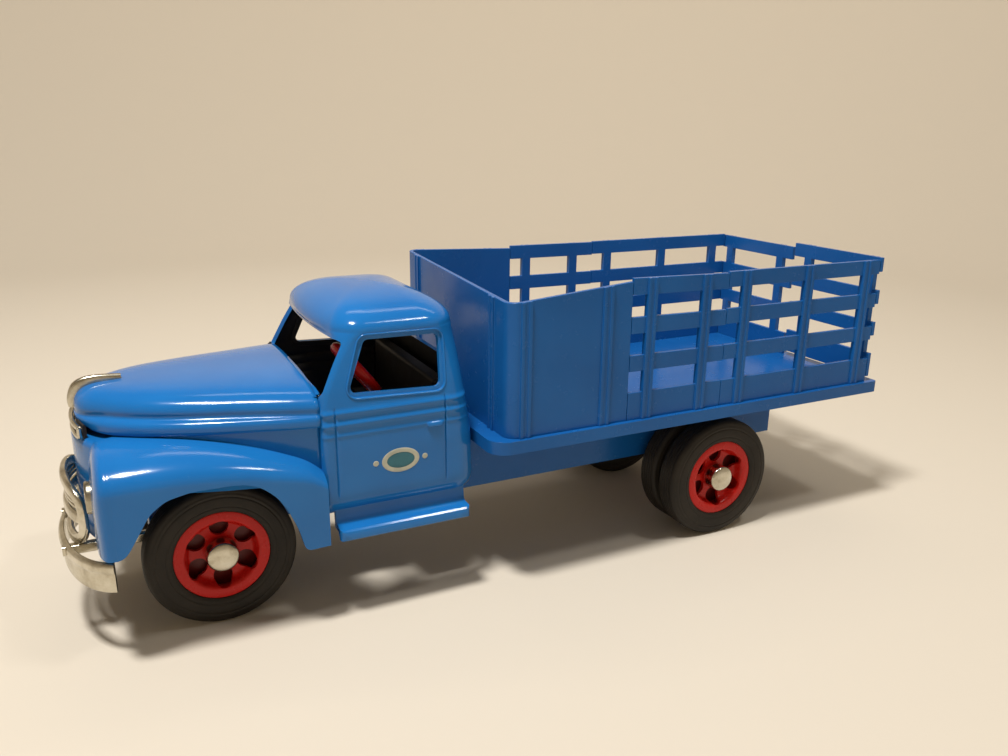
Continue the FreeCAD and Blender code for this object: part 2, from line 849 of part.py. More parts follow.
def ellipse_x(front, depth, half_width, y):
    """Frame x on half an ellipse that bulges towards the front."""
    return bed_x(-front) + depth * (1 - math.sqrt(max(0.0, 1 - (y / half_width) ** 2)))


def ellipse_edge(front, depth, half_width, cut_y, z):
    points = []
    for step in range(25):
        y = cut_y * math.sin(math.pi / 2 * (step - 12) / 12)
        points.append(Vec(ellipse_x(front, depth, half_width, y), y, z))
    curve = Part.BSplineCurve()
    curve.interpolate(points)
    return curve.toShape()


def front_band(front, depth, half_width, cut_y, wall, z0, height):
    """Upright band bowed forwards along half an ellipse in plan."""
    outer = ellipse_edge(front, depth, half_width, cut_y, z0)
    inner = ellipse_edge(front - wall, depth, half_width - wall, min(cut_y, half_width - 1.2 * wall), z0)
    ends = [outer.Vertexes[0].Point, outer.Vertexes[-1].Point]
    inner_ends = [inner.Vertexes[0].Point, inner.Vertexes[-1].Point]
    wire = Part.Wire(Part.__sortEdges__([
        outer, inner, Part.makeLine(ends[0], inner_ends[0]), Part.makeLine(ends[1], inner_ends[1])]))
    return Part.Face(wire).extrude(Vec(0, 0, height))


def bumper():
    body = front_band(bumper_front, bumper_depth, bumper_half_width, bumper_cut_y, bumper_wall,
                      bumper_bottom_z, bumper_height)
    for side in (-1, 1):
        y = side * (front_rail_outer_y - rail_wall / 2)
        x0 = ellipse_x(bumper_front, bumper_depth, bumper_half_width, y) + bumper_wall / 2
        bar = box(x0, bed_x(-frame_front), y - bracket_width / 2, y + bracket_width / 2,
                  frame_bottom_z, frame_bottom_z + bracket_width)
        body = body.fuse(bar)
    return body


def grille():
    """Oval mouth: a frame with one broad middle bar, and thin slats in its upper half."""
    z0 = bumper_bottom_z + bumper_height + seat_gap
    body = front_band(grille_front, grille_depth, grille_half_width, grille_cut_y, grille_wall, z0,
                      grille_top_z - z0)
    opening = (grille_top_z - z0 - 2 * grille_border - grille_bar) / 2
    reach = grille_cut_y - grille_border
    x0 = bed_x(-grille_front) - grille_wall
    x1 = bed_x(-grille_front) + grille_depth + grille_wall
    body = body.cut(box(x0, x1, -reach, reach, z0 + grille_border, z0 + grille_border + opening))
    low = z0 + grille_border + opening + grille_bar
    gap = (opening - slat_count * slat_height) / (slat_count + 1)
    for step in range(slat_count + 1):
        slot_z = low + step * (gap + slat_height)
        body = body.cut(box(x0, x1, -reach, reach, slot_z, slot_z + gap))
    fender_face = axle_x("front") + fender_sections[0][0] - seat_gap
    return body.cut(box(fender_face, x1 + grille_depth, -2 * reach, 2 * reach, z0 - 1, grille_top_z + 1))


def nose_trim():
    return front_band(trim_front, trim_depth, trim_half_width, trim_cut_y, trim_wall,
                      nose_top_z + seat_gap, hood_bottom_z - nose_top_z - 2 * seat_gap)


def lamp_plug(side, grow):
    x = bed_x(-lamp_front)
    return Part.makeCylinder(lamp_radius + grow, lamp_depth, Vec(x, side * lamp_y, lamp_z), Vec(1, 0, 0))


def ornament():
    """Fin on the nose of the hood, cut to the hood's surface."""
    x0 = bed_x(-ornament_front)
    low = ornament_low_z
    side_view = [(0.0, low)]
    side_view += [(x, ornament_top_z - drop) for x, drop in ornament_outline]
    side_view.append((ornament_outline[-1][0], low))
    face = Part.Face(polygon_wire([Vec(x0 + x, -ornament_width / 2, z) for x, z in side_view]))
    fin = face.extrude(Vec(0, ornament_width, 0))
    seat_shape = hood_solid(0)
    seat_shape.translate(Vec(-trim_clearance, 0, trim_clearance))
    return fin.cut(seat_shape)


# Interior

def seat():
    x1 = bed_x(cab_sections[0][2]) - cab_wall - seat_rear_gap
    z0 = cab_floor_z
    base = box(x1 - seat_depth, x1, -seat_width / 2, seat_width / 2, z0, z0 + seat_height)
    back = box(x1 - seat_back_thickness, x1, -seat_width / 2, seat_width / 2, z0, z0 + seat_back_height)
    return base.fuse(back)


def steering():
    """Two-spoke wheel on a sloping column that ends at the front wall of the cab."""
    ring = Part.makeTorus(steering_radius, steering_tube)
    column = Part.makeCylinder(column_radius, column_length, Vec(0, 0, -column_length))
    spoke = box(-steering_radius, steering_radius, -column_radius / 2, column_radius / 2, -steering_tube / 2,
                steering_tube / 2)
    body = ring.fuse(column).fuse(spoke)
    body.rotate(Vec(0, 0, 0), Vec(0, 1, 0), steering_tilt)
    body.translate(Vec(bed_x(steering_x), steering_y, steering_z))
    wall_x = cab_front_x() + cab_wall + seat_gap
    behind = box(wall_x - column_length, wall_x, steering_y - 2 * steering_radius, steering_y + 2 * steering_radius,
                 cab_floor_z, steering_z)
    return body.cut(behind)


def build():
    save("deck", deck())
    save("headboard", headboard())
    for side, word in ((-1, "left"), (1, "right")):
        save(word + "_mid_gate", side_gate("mid", side))
        save(word + "_rear_gate", side_gate("rear", side))
        save(word + "_tail_gate", tail_gate(side))
        front_wheel(side, word + "_front")
        rear_wheels(side, word + "_rear")
        save(word + "_headlamp", lamp_plug(side, 0.0))
        save(word + "_front_hanger", hanger("front", side))
        save(word + "_rear_hanger", hanger("rear", side))
    save("front_axle", axle("front", front_track_half))
    save("rear_axle", axle("rear", rear_track_half))
    save("chassis", chassis())
    save("cab_shell", cab_shell())
    save("hood", hood())
    save("front_end", front_end())
    save("bumper", bumper())
    save("grille", grille())
    save("hood_ornament", ornament())
    save("nose_trim", nose_trim())
    save("seat", seat())
    save("steering_wheel", steering())


build()
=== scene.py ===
import bmesh
import bpy
import numpy as np
from mathutils import Matrix, Vector


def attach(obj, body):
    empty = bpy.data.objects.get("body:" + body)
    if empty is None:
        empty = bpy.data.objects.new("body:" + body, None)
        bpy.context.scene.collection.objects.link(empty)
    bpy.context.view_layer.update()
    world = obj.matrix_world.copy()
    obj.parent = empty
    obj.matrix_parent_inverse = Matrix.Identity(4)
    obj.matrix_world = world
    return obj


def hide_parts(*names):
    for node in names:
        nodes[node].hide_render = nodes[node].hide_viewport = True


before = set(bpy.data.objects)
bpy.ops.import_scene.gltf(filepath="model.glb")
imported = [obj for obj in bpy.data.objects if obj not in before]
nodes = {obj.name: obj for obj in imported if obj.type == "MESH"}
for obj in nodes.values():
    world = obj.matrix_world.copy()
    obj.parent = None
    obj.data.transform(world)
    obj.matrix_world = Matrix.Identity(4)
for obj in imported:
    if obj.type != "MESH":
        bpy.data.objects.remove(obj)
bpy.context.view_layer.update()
scene = bpy.context.scene
print("frame loaded:", len(nodes), "nodes")

# All shapes below are worked out in millimetres: front towards -X, left side towards -Y, ground at 0
mm = 0.001
place = {"bed": -19.75, "frontAxle": -141.75, "rearAxle": 102.25, "axleHeight": 31.0}


# Distances and angles at which meshes are mended and edges are rounded, for drawn pieces and for copies of solids
mend = {"join": 0.01, "sliver": 0.004, "bevelAngle": 38, "copyJoin": 0.02, "copyFlat": 1.5, "copySharp": 30}


# Helpers for shapes

def smoothThrough(knots, values, wanted):
    # Natural cubic curve through the knots: second slopes come from one linear system, then all places at once
    knots = np.asarray(knots, float)
    values = np.asarray(values, float)
    wanted = np.clip(np.asarray(wanted, float), knots[0], knots[-1])
    gap = np.diff(knots)
    count = len(knots)
    system = np.eye(count)
    right = np.zeros(count)
    inner = np.arange(1, count - 1)
    system[inner, inner - 1] = gap[:-1]
    system[inner, inner] = 2 * (gap[:-1] + gap[1:])
    system[inner, inner + 1] = gap[1:]
    slopes = np.diff(values) / gap
    right[inner] = 6 * np.diff(slopes)
    bend = np.linalg.solve(system, right)
    k = np.clip(np.searchsorted(knots, wanted, side="right") - 1, 0, count - 2)
    h = gap[k]
    a = (knots[k + 1] - wanted) / h
    b = (wanted - knots[k]) / h
    return a * values[k] + b * values[k + 1] + ((a ** 3 - a) * bend[k] + (b ** 3 - b) * bend[k + 1]) * h * h / 6


def columnsAt(table, wanted):
    # Every further column of a table, smooth through its rows, at the wanted values of the first column
    table = np.array(sorted(table))
    return [smoothThrough(table[:, 0], table[:, k], wanted) for k in range(1, table.shape[1])]


def circle(steps):
    return np.linspace(0, 2 * np.pi, steps, endpoint=False)


def quarter(steps):
    return np.radians(np.linspace(0, 90, steps))


def together(*columns):
    # Coordinates that are broadcast against each other, as one array of points
    return np.stack(np.broadcast_arrays(*columns), axis=-1)


def gridFaces(rows, cols, closed=False, flip=False):
    # Four-sided faces of a grid of points stored row by row
    row = np.arange(rows - 1)[:, None]
    col = np.arange(cols if closed else cols - 1)[None, :]
    after = (col + 1) % cols
    quads = np.stack([row * cols + col, row * cols + after, (row + 1) * cols + after, (row + 1) * cols + col], axis=-1)
    quads = quads.reshape(-1, 4)
    return quads[:, ::-1] if flip else quads


def surface(points, closed=False, flip=False):
    # A grid of points, rows x columns x 3, as one part of a piece
    rows, cols = points.shape[:2]
    return points.reshape(-1, 3), gridFaces(rows, cols, closed, flip)


def mirrored(parts):
    # The same parts on the other side of the middle plane, with their faces turned back outwards
    return [(points * np.array([1.0, -1.0, 1.0]), faces[:, ::-1]) for points, faces in parts]


def makePiece(name, parts, material, body, angle=32.0, thickness=0.0, bevel=0.0, outwards=False, inside=None):
    # Joins parts into one mesh, closes their seams and poles, and lets the piece ride on its body
    points = np.concatenate([p for p, f in parts]) * mm
    starts = np.cumsum([0] + [len(p) for p, f in parts[:-1]])
    faces = np.concatenate([f + s for (p, f), s in zip(parts, starts)])
    mesh = bpy.data.meshes.new(name)
    mesh.from_pydata(points.tolist(), [], faces.tolist())
    work = bmesh.new()
    work.from_mesh(mesh)
    bmesh.ops.remove_doubles(work, verts=work.verts, dist=mend["join"] * mm)
    bmesh.ops.dissolve_degenerate(work, edges=work.edges, dist=mend["sliver"] * mm)
    if outwards:
        bmesh.ops.recalc_face_normals(work, faces=work.faces)
    work.to_mesh(mesh)
    work.free()
    mesh.shade_smooth()
    mesh.set_sharp_from_angle(angle=np.radians(angle))
    piece = bpy.data.objects.new(name, mesh)
    scene.collection.objects.link(piece)
    finishPiece(piece, material, body, thickness, bevel, inside)
    return piece


def finishPiece(piece, material, body, thickness=0.0, bevel=0.0, inside=None):
    piece.data.materials.clear()
    piece.data.materials.append(material)
    if inside:
        piece.data.materials.append(inside)
    if thickness:
        wall = piece.modifiers.new("wall", "SOLIDIFY")
        wall.thickness = thickness * mm
        wall.offset = -1.0
        if inside:
            wall.material_offset = 1
    if bevel:
        edge = piece.modifiers.new("edge", "BEVEL")
        edge.width = bevel * mm
        edge.segments = 2
        edge.limit_method = "ANGLE"
        edge.angle_limit = np.radians(mend["bevelAngle"])
        edge.harden_normals = True
    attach(piece, body)


def revolve(profile, centre, side, steps=96):
    # Profile points (radius, distance out along the axle) turned about an axle that runs along Y
    profile = np.asarray(profile, float)
    turn = circle(steps)
    radius, out = profile[:, :1], side * profile[:, 1:]
    points = together(centre[0] + radius * np.cos(turn), out, centre[1] + radius * np.sin(turn))
    return surface(points, closed=True, flip=side > 0)


def sweep(path, across, up, profile, closedPath=False):
    # Profile points (across, up) carried along a path. An open path gets closed ends.
    profile = np.asarray(profile, float)
    across, up = (np.broadcast_to(way, path.shape)[:, None, :] for way in (across, up))
    points = path[:, None, :] + across * profile[None, :, :1] + up * profile[None, :, 1:]
    if closedPath:
        points = np.concatenate([points, points[:1]])
    else:
        ends = points[[0, -1]].mean(axis=1, keepdims=True) * np.ones((1, len(profile), 1))
        points = np.concatenate([ends[:1], points, ends[1:]])
    return surface(points, closed=True)


def unit(vectors):
    return vectors / np.maximum(np.linalg.norm(vectors, axis=-1, keepdims=True), 1e-12)


def tangents(path, closed=False):
    return unit(np.roll(path, -1, axis=0) - np.roll(path, 1, axis=0) if closed else np.gradient(path, axis=0))


def lengthAlong(points):
    return np.concatenate([[0], np.cumsum(np.linalg.norm(np.diff(points, axis=0), axis=1))])


def fullOval(turn, powerAcross, powerUp):
    # Cosine and sine of a turn, each to a power that keeps its sign: below 1 the oval fills out towards a rectangle
    c, s = np.cos(turn), np.sin(turn)
    return np.sign(c) * abs(c) ** powerAcross, np.sign(s) * abs(s) ** powerUp


def widened(corners, by):
    corners = np.asarray(corners, float)
    return corners + np.sign(corners - corners.mean(axis=0)) * by


def roundedOutline(corners, radius, cells, closed=True):
    # Polygon with round corners, walked from the middle of one corner to the middle of the next in equal steps.
    # An open outline starts and ends square at its first and last corner.
    corners = np.asarray(corners, float)
    count = len(corners)
    dirIn = unit(np.roll(corners, 1, axis=0) - corners)
    dirOut = unit(np.roll(corners, -1, axis=0) - corners)
    half = np.arccos(np.clip((dirIn * dirOut).sum(axis=1), -1, 1)) / 2
    reach = (radius / np.tan(half))[:, None]
    centre = corners + unit(dirIn + dirOut) * (radius / np.sin(half))[:, None]
    share = np.linspace(0, 1, 13)[:, None]
    dense, marks, total = [], [], 0
    for k in range(count):
        ends = not closed and k in (0, count - 1)
        if ends:
            arc = corners[k][None, :]
        else:
            a, b = corners[k] + dirIn[k] * reach[k] - centre[k], corners[k] + dirOut[k] * reach[k] - centre[k]
            spread = np.arccos(np.clip((unit(a) * unit(b)).sum(), -1, 1))
            arc = centre[k] + (np.sin((1 - share) * spread) * a + np.sin(share * spread) * b) / np.sin(spread)
        marks.append(total + (0 if ends else 6))
        dense.append(arc)
        total += len(arc)
    dense = np.concatenate(dense + ([dense[0][:7]] if closed else []))
    marks += [total + 6] if closed else []
    length = lengthAlong(dense)
    stops = np.concatenate([np.linspace(length[a], length[b], cell + 1)[(1 if k else 0):]
                            for k, (a, b, cell) in enumerate(zip(marks[:-1], marks[1:], cells))])
    return np.stack([np.interp(stops, length, dense[:, axis]) for axis in range(dense.shape[1])], axis=-1)


# Materials

looks = {
    # noise layers: scale, detail, roughness, stretch
    "plastic": {"cloud": (18.0, 3.0), "rub": (700.0, 6.0, 0.7, (1.0, 1.0, 0.25)), "fine": (160.0, 5.0, 0.6),
                "waves": (55.0, 2.0)},
    "chrome": {"cloud": (90.0, 6.0, 0.65), "pits": (1400.0, 4.0, 0.8)},
    "rubber": {"cloud": (45.0, 6.0, 0.65), "dust": (500.0, 5.0, 0.7)},
    "steel": {"grain": (300.0, 4.0, 0.6, (1.0, 0.05, 1.0))},
    "matte": {"cloud": (120.0, 5.0)},
}
dustColour, dustShare = (0.45, 0.50, 0.52), 0.18
black, white = (0, 0, 0, 1), (1, 1, 1, 1)


def feed(tree, node, inputs):
    # Each input gets a link when its value comes from another node, else the value itself
    for key, value in inputs.items():
        if isinstance(value, bpy.types.NodeSocket):
            tree.links.new(value, node.inputs[key])
        else:
            node.inputs[key].default_value = value
    return node


def newMaterial(name, look=None):
    material = bpy.data.materials.new(name)
    material.use_nodes = True
    tree = material.node_tree
    coords = tree.nodes.new("ShaderNodeTexCoord").outputs["Object"]
    layers = [addNoise(tree, coords, *layer) for layer in looks.get(look, {}).values()]
    return material, tree, tree.nodes["Principled BSDF"], layers


def addNoise(tree, coords, scale, detail=4.0, rough=0.55, stretch=None):
    if stretch:
        mapping = feed(tree, tree.nodes.new("ShaderNodeMapping"), {"Vector": coords, "Scale": stretch})
        coords = mapping.outputs["Vector"]
    noise = tree.nodes.new("ShaderNodeTexNoise")
    return feed(tree, noise, {"Vector": coords, "Scale": scale, "Detail": detail, "Roughness": rough}).outputs["Fac"]


def addRamp(tree, value, stops):
    ramp = feed(tree, tree.nodes.new("ShaderNodeValToRGB"), {"Fac": value})
    elements = ramp.color_ramp.elements
    for end in (0, -1):
        elements[end].position, elements[end].color = stops[end]
    for position, colour in stops[1:-1]:
        elements.new(position).color = colour
    return ramp.outputs["Color"]


def addMix(tree, share, first, second):
    mix = tree.nodes.new("ShaderNodeMix")
    mix.data_type = "RGBA"
    return feed(tree, mix, {0: share, 6: first, 7: second}).outputs[2]


def addRange(tree, value, low, high):
    reach = tree.nodes.new("ShaderNodeMapRange")
    return feed(tree, reach, {"Value": value, "To Min": low, "To Max": high}).outputs["Result"]


def addBump(tree, layers):
    # Layers of height, strength and distance, one on the other
    below = {}
    for height, strength, distance in layers:
        bump = tree.nodes.new("ShaderNodeBump")
        feed(tree, bump, {"Strength": strength, "Distance": distance, "Height": height, **below})
        below = {"Normal": bump.outputs["Normal"]}
    return below["Normal"]


def glossPlastic(name, colour, deep, rough=0.2, ripple=0.12, gloss=0.38):
    # Old moulded gloss plastic: slightly uneven colour, soft ripples, fine rubbing marks and a few specks of dust
    material, tree, shader, (cloud, rub, fine, waves) = newMaterial(name, "plastic")
    haze = addRamp(tree, rub, [(0.66, black), (0.86, (0.6, 0.6, 0.6, 1))])
    dusty = tuple((1 - dustShare) * c + dustShare * d for c, d in zip(colour[:3], dustColour)) + (1.0,)
    feed(tree, shader, {
        "Base Color": addMix(tree, haze, addRamp(tree, cloud, [(0.35, deep), (0.65, colour)]), dusty),
        "Roughness": addRange(tree, fine, rough * 0.7, rough * 1.4), "IOR": 1.46, "Specular IOR Level": gloss,
        "Normal": addBump(tree, [(waves, ripple, 0.0010), (fine, 0.04, 0.0002)])})
    return material


def agedChrome(name):
    # Thin bright plating that has gone warm and hazy, with dull pits
    material, tree, shader, (cloud, pits) = newMaterial(name, "chrome")
    base = addRamp(tree, cloud, [(0.3, (0.30, 0.26, 0.18, 1)), (0.5, (0.56, 0.52, 0.42, 1)), (0.75, (0.74, 0.71, 0.62, 1))])
    spots = addRamp(tree, pits, [(0.66, black), (0.74, white)])
    feed(tree, shader, {
        "Base Color": addMix(tree, spots, base, (0.16, 0.12, 0.08, 1)), "Metallic": 1.0,
        "Roughness": addRange(tree, cloud, 0.34, 0.12), "Normal": addBump(tree, [(cloud, 0.12, 0.0005), (pits, 0.1, 0.0001)])})
    return material


def tyreRubber(name):
    # Dark brown-black rubber, dry and a little dusty in its rings
    material, tree, shader, (cloud, dust) = newMaterial(name, "rubber")
    base = addRamp(tree, cloud, [(0.3, (0.009, 0.007, 0.005, 1)), (0.7, (0.022, 0.017, 0.012, 1))])
    specks = addRamp(tree, dust, [(0.6, black), (0.78, white)])
    feed(tree, shader, {
        "Base Color": addMix(tree, specks, base, (0.040, 0.032, 0.022, 1)), "Roughness": addRange(tree, dust, 0.48, 0.7),
        "Specular IOR Level": 0.3, "Normal": addBump(tree, [(dust, 0.15, 0.0003)])})
    return material


def plainSteel(name):
    material, tree, shader, (grain,) = newMaterial(name, "steel")
    feed(tree, shader, {
        "Base Color": addRamp(tree, grain, [(0.3, (0.28, 0.28, 0.28, 1)), (0.7, (0.5, 0.5, 0.49, 1))]),
        "Metallic": 1.0, "Roughness": addRange(tree, grain, 0.25, 0.45)})
    return material


def mattePlastic(name, colour, deep):
    material, tree, shader, (cloud,) = newMaterial(name, "matte")
    feed(tree, shader, {
        "Base Color": addRamp(tree, cloud, [(0.35, deep), (0.65, colour)]), "Roughness": addRange(tree, cloud, 0.5, 0.75),
        "Normal": addBump(tree, [(cloud, 0.2, 0.0004)])})
    return material


bluePlastic = glossPlastic("bluePlastic", (0.010, 0.148, 0.440, 1), (0.008, 0.126, 0.392, 1), 0.13, 0.12, 0.45)
rackPlastic = glossPlastic("rackPlastic", (0.008, 0.105, 0.350, 1), (0.006, 0.088, 0.305, 1), 0.24, 0.14, 0.3)
redPlastic = glossPlastic("redPlastic", (0.520, 0.011, 0.008, 1), (0.430, 0.009, 0.006, 1), 0.26, 0.12, 0.28)
# Dark red as painted shade: the wheel's backing plate is the same red plastic, darkened for the shade deep behind the
# openings
paintedShadeRed = glossPlastic("paintedShadeRed", (0.120, 0.004, 0.003, 1), (0.080, 0.003, 0.002, 1), 0.35)
lampLens = glossPlastic("lampLens", (0.480, 0.490, 0.470, 1), (0.380, 0.390, 0.375, 1), 0.1, 0.5, 0.5)
chrome = agedChrome("agedChrome")
rubber = tyreRubber("tyreRubber")
steel = plainSteel("plainSteel")
# Near-black matte finish: on the cab's inner walls and in the nose slot's recess it is painted shade; the seat gets it
# as well
darkPlasticAndPaintedShade = mattePlastic("darkPlasticAndPaintedShade", (0.012, 0.008, 0.006, 1), (0.005, 0.004, 0.003, 1))
palePaint = mattePlastic("palePaint", (0.500, 0.500, 0.400, 1), (0.360, 0.370, 0.310, 1))
tealPaint = mattePlastic("tealPaint", (0.035, 0.155, 0.200, 1), (0.025, 0.120, 0.160, 1))
print("materials made")


# Cab: rounded box in plan, leaning in towards the roof, with a low dome on top

cab = {
    # height, front, back, half width, front and back corner radius, bow of the front; x from the bed's front wall
    "levels": [
        (47.7, -81.0, -13.0, 47.4, 3.0, 9.0, 0.3),
        (49.6, -81.5, -12.2, 49.4, 3.0, 9.5, 0.4),
        (52.4, -81.9, -11.7, 50.8, 3.0, 10.0, 0.5),
        (56.0, -82.0, -11.7, 51.2, 3.0, 10.0, 0.5),
        (75.0, -82.0, -12.4, 51.2, 3.0, 10.5, 0.5),
        (85.0, -82.0, -13.8, 50.8, 3.0, 10.5, 0.5),
        (92.0, -82.0, -14.6, 50.2, 3.2, 10.5, 0.6),
        (100.3, -81.4, -15.6, 49.0, 4.6, 11.0, 2.0),
        (111.0, -76.4, -16.7, 46.8, 5.2, 11.5, 2.0),
        (119.8, -72.1, -18.0, 45.1, 6.6, 12.0, 2.0),
        (121.6, -72.6, -17.9, 45.2, 9.6, 13.0, 2.5),
        (123.0, -72.7, -17.9, 45.3, 12.0, 14.5, 2.9),
    ],
    "roofHeight": 13.4, "roofFullness": 2.05, "roofCentre": -46.0, "softBend": 1.6,
    "wall": 2.0, "windowRadius": 2.4,
    "sideWindow": [(-69.5, 99.0), (-60.9, 120.0), (-28.2, 119.6), (-29.2, 97.4)],
    "screen": [(0.0, 120.2), (43.6, 120.2), (48.6, 96.6), (43.6, 98.9), (37.0, 100.2), (25.0, 101.0), (0.0, 101.2)],
    "rearWindow": [(0.0, 118.5), (22.0, 118.5), (22.0, 104.0), (0.0, 104.0)],
    "ringLow": 94.2, "ringHigh": 122.5,
    "ridges": [(91.6, 0.85, 1.15), (86.7, 0.75, 1.15), (82.0, 0.3, 0.9)],   # height, how proud, half height
    # door seams: share of the side, distance from the bed's front wall
    "seamShares": (0.035, 0.9), "seamPlaces": (-75.8, -27.5), "seamDepth": 0.6, "seamWidth": 0.28,
    "seamFoot": 54.0, "seamTop": 94.2, "frameWidth": 1.9, "frameSink": 0.6,
    "seamKeep": (0.6, 1.5), "seamFade": (0.5, 1.5),      # least distance from the side's ends, fading below and above
    "frameLip": 0.35, "frameRound": 0.8, "beadGap": 0.3, "beadRadius": 4.4, "bead": (0.45, 0.315), "beadProud": 0.1,
    # u at which the strips round the side window begin and end, and the height from which the rows stand closer
    "splits": (1.778, 3.625), "fineFrom": 79.0, "ringPower": 1.3,
}
levelTable = np.array(cab["levels"])


def cabLevel(z):
    # Front, back, half width, radii and bow at a height: straight between the levels, with the bends rounded off
    # by a mean over a few heights close by
    z = np.asarray(z, float)
    reach = np.minimum(cab["softBend"], np.minimum(z - levelTable[0, 0], levelTable[-1, 0] - z))
    near = z[..., None] + reach[..., None] * np.linspace(-1, 1, 7)
    return [np.interp(near, levelTable[:, 0], levelTable[:, k]).mean(axis=-1) for k in range(1, 7)]


def sideKnots(z):
    # The side's start, its two seams and its end at a height, as distances from the bed's front wall
    front, back, half, frontRadius, backRadius, bow = cabLevel(z)
    start, end = front + frontRadius, back - backRadius
    (placeA, placeB), (keepA, keepB) = cab["seamPlaces"], cab["seamKeep"]
    return start, np.maximum(placeA, start + keepA), np.minimum(placeB, end - keepB), end


sideLength = cab["seamPlaces"][1] - cab["seamPlaces"][0]
sideShares = (0, *cab["seamShares"], 1)


def stepwise(value, here, there):
    # Straight steps from four knots to four others
    a, b, c, d = here
    p, q, r, s = there
    return np.select([value < b, value < c], [p + (q - p) * (value - a) / (b - a), q + (r - q) * (value - b) / (c - b)],
                     r + (s - r) * (value - c) / (d - c))


def cabPoint(u, z):
    # Left half of the plan walked by u: 0-1 front, 1-2 front corner, 2-3 side, 3-4 back corner, 4-5 back
    u, z = np.broadcast_arrays(np.asarray(u, float), np.asarray(z, float))
    front, back, half, frontRadius, backRadius, bow = cabLevel(z)
    ridge = sum(proud * np.exp(-((z - at) / reach) ** 2) for at, proud, reach in cab["ridges"])
    seam = sum(np.exp(-((u - 2 - at) * sideLength / cab["seamWidth"]) ** 2) for at in cab["seamShares"])
    fadeLow, fadeHigh = cab["seamFade"]
    seam = seam * cab["seamDepth"] * np.clip((z - cab["seamFoot"]) / fadeLow, 0, 1)
    seam = seam * np.clip((cab["seamTop"] - z) / fadeHigh, 0, 1)
    onSide = np.clip((u - 1) * 2, 0, 1) * np.clip((4 - u) * 2, 0, 1)
    segment = np.clip(np.floor(u), 0, 4)
    f = u - segment
    turn = f * np.pi / 2
    flatHalf, backHalf = half - frontRadius, half - backRadius
    knots = sideKnots(z)
    parts = [segment == k for k in range(5)]
    x = np.select(parts, [front - bow * (1 - f ** 2), front + frontRadius * (1 - np.cos(turn)), stepwise(f, sideShares, knots),
                          knots[-1] + backRadius * np.sin(turn), back])
    y = np.select(parts, [f * flatHalf, flatHalf + frontRadius * np.sin(turn), half,
                          backHalf + backRadius * np.cos(turn), backHalf * (1 - f)])
    return together(x + place["bed"], -y - (ridge - seam) * onSide, z)


def cabAcross(y, z):
    # u on the front for a distance from the middle plane
    front, back, half, frontRadius, backRadius, bow = cabLevel(z)
    flat = half - frontRadius
    return np.where(y <= flat, y / flat, 1 + np.arcsin(np.clip((y - flat) / frontRadius, 0, 1)) / (np.pi / 2))


def cabAlong(x, z):
    # u on the side for a distance from the bed's front wall
    front, back, half, frontRadius, backRadius, bow = cabLevel(z)
    knots = sideKnots(z)
    corner = 3 + np.arcsin(np.clip((x - knots[-1]) / backRadius, 0, 1)) / (np.pi / 2)
    return np.where(x <= knots[-1], 2 + stepwise(x, knots, sideShares), corner)


def cabBack(y, z):
    # u on the back for a distance from the middle plane
    front, back, half, frontRadius, backRadius, bow = cabLevel(z)
    return 5 - y / (half - backRadius)


def onSurface(line, finder):
    # An outline of distances and heights as an outline of u and height
    return together(finder(line[:, 0], line[:, 1]), line[:, 1])


def walk(*legs):
    # Legs of u and height, one after the other, each without the point it shares with the leg before
    return np.concatenate([together(u, z)[(1 if k else 0):] for k, (u, z) in enumerate(legs)])


def ring(outer, inner, rings=8):
    # Strip of the cab's surface between the grid around a window and the window's own outline
    share = 1 - (1 - np.linspace(0, 1, rings)[:, None, None]) ** cab["ringPower"]
    both = outer[None] * (1 - share) + inner[None] * share
    return cabPoint(both[..., 0], both[..., 1])


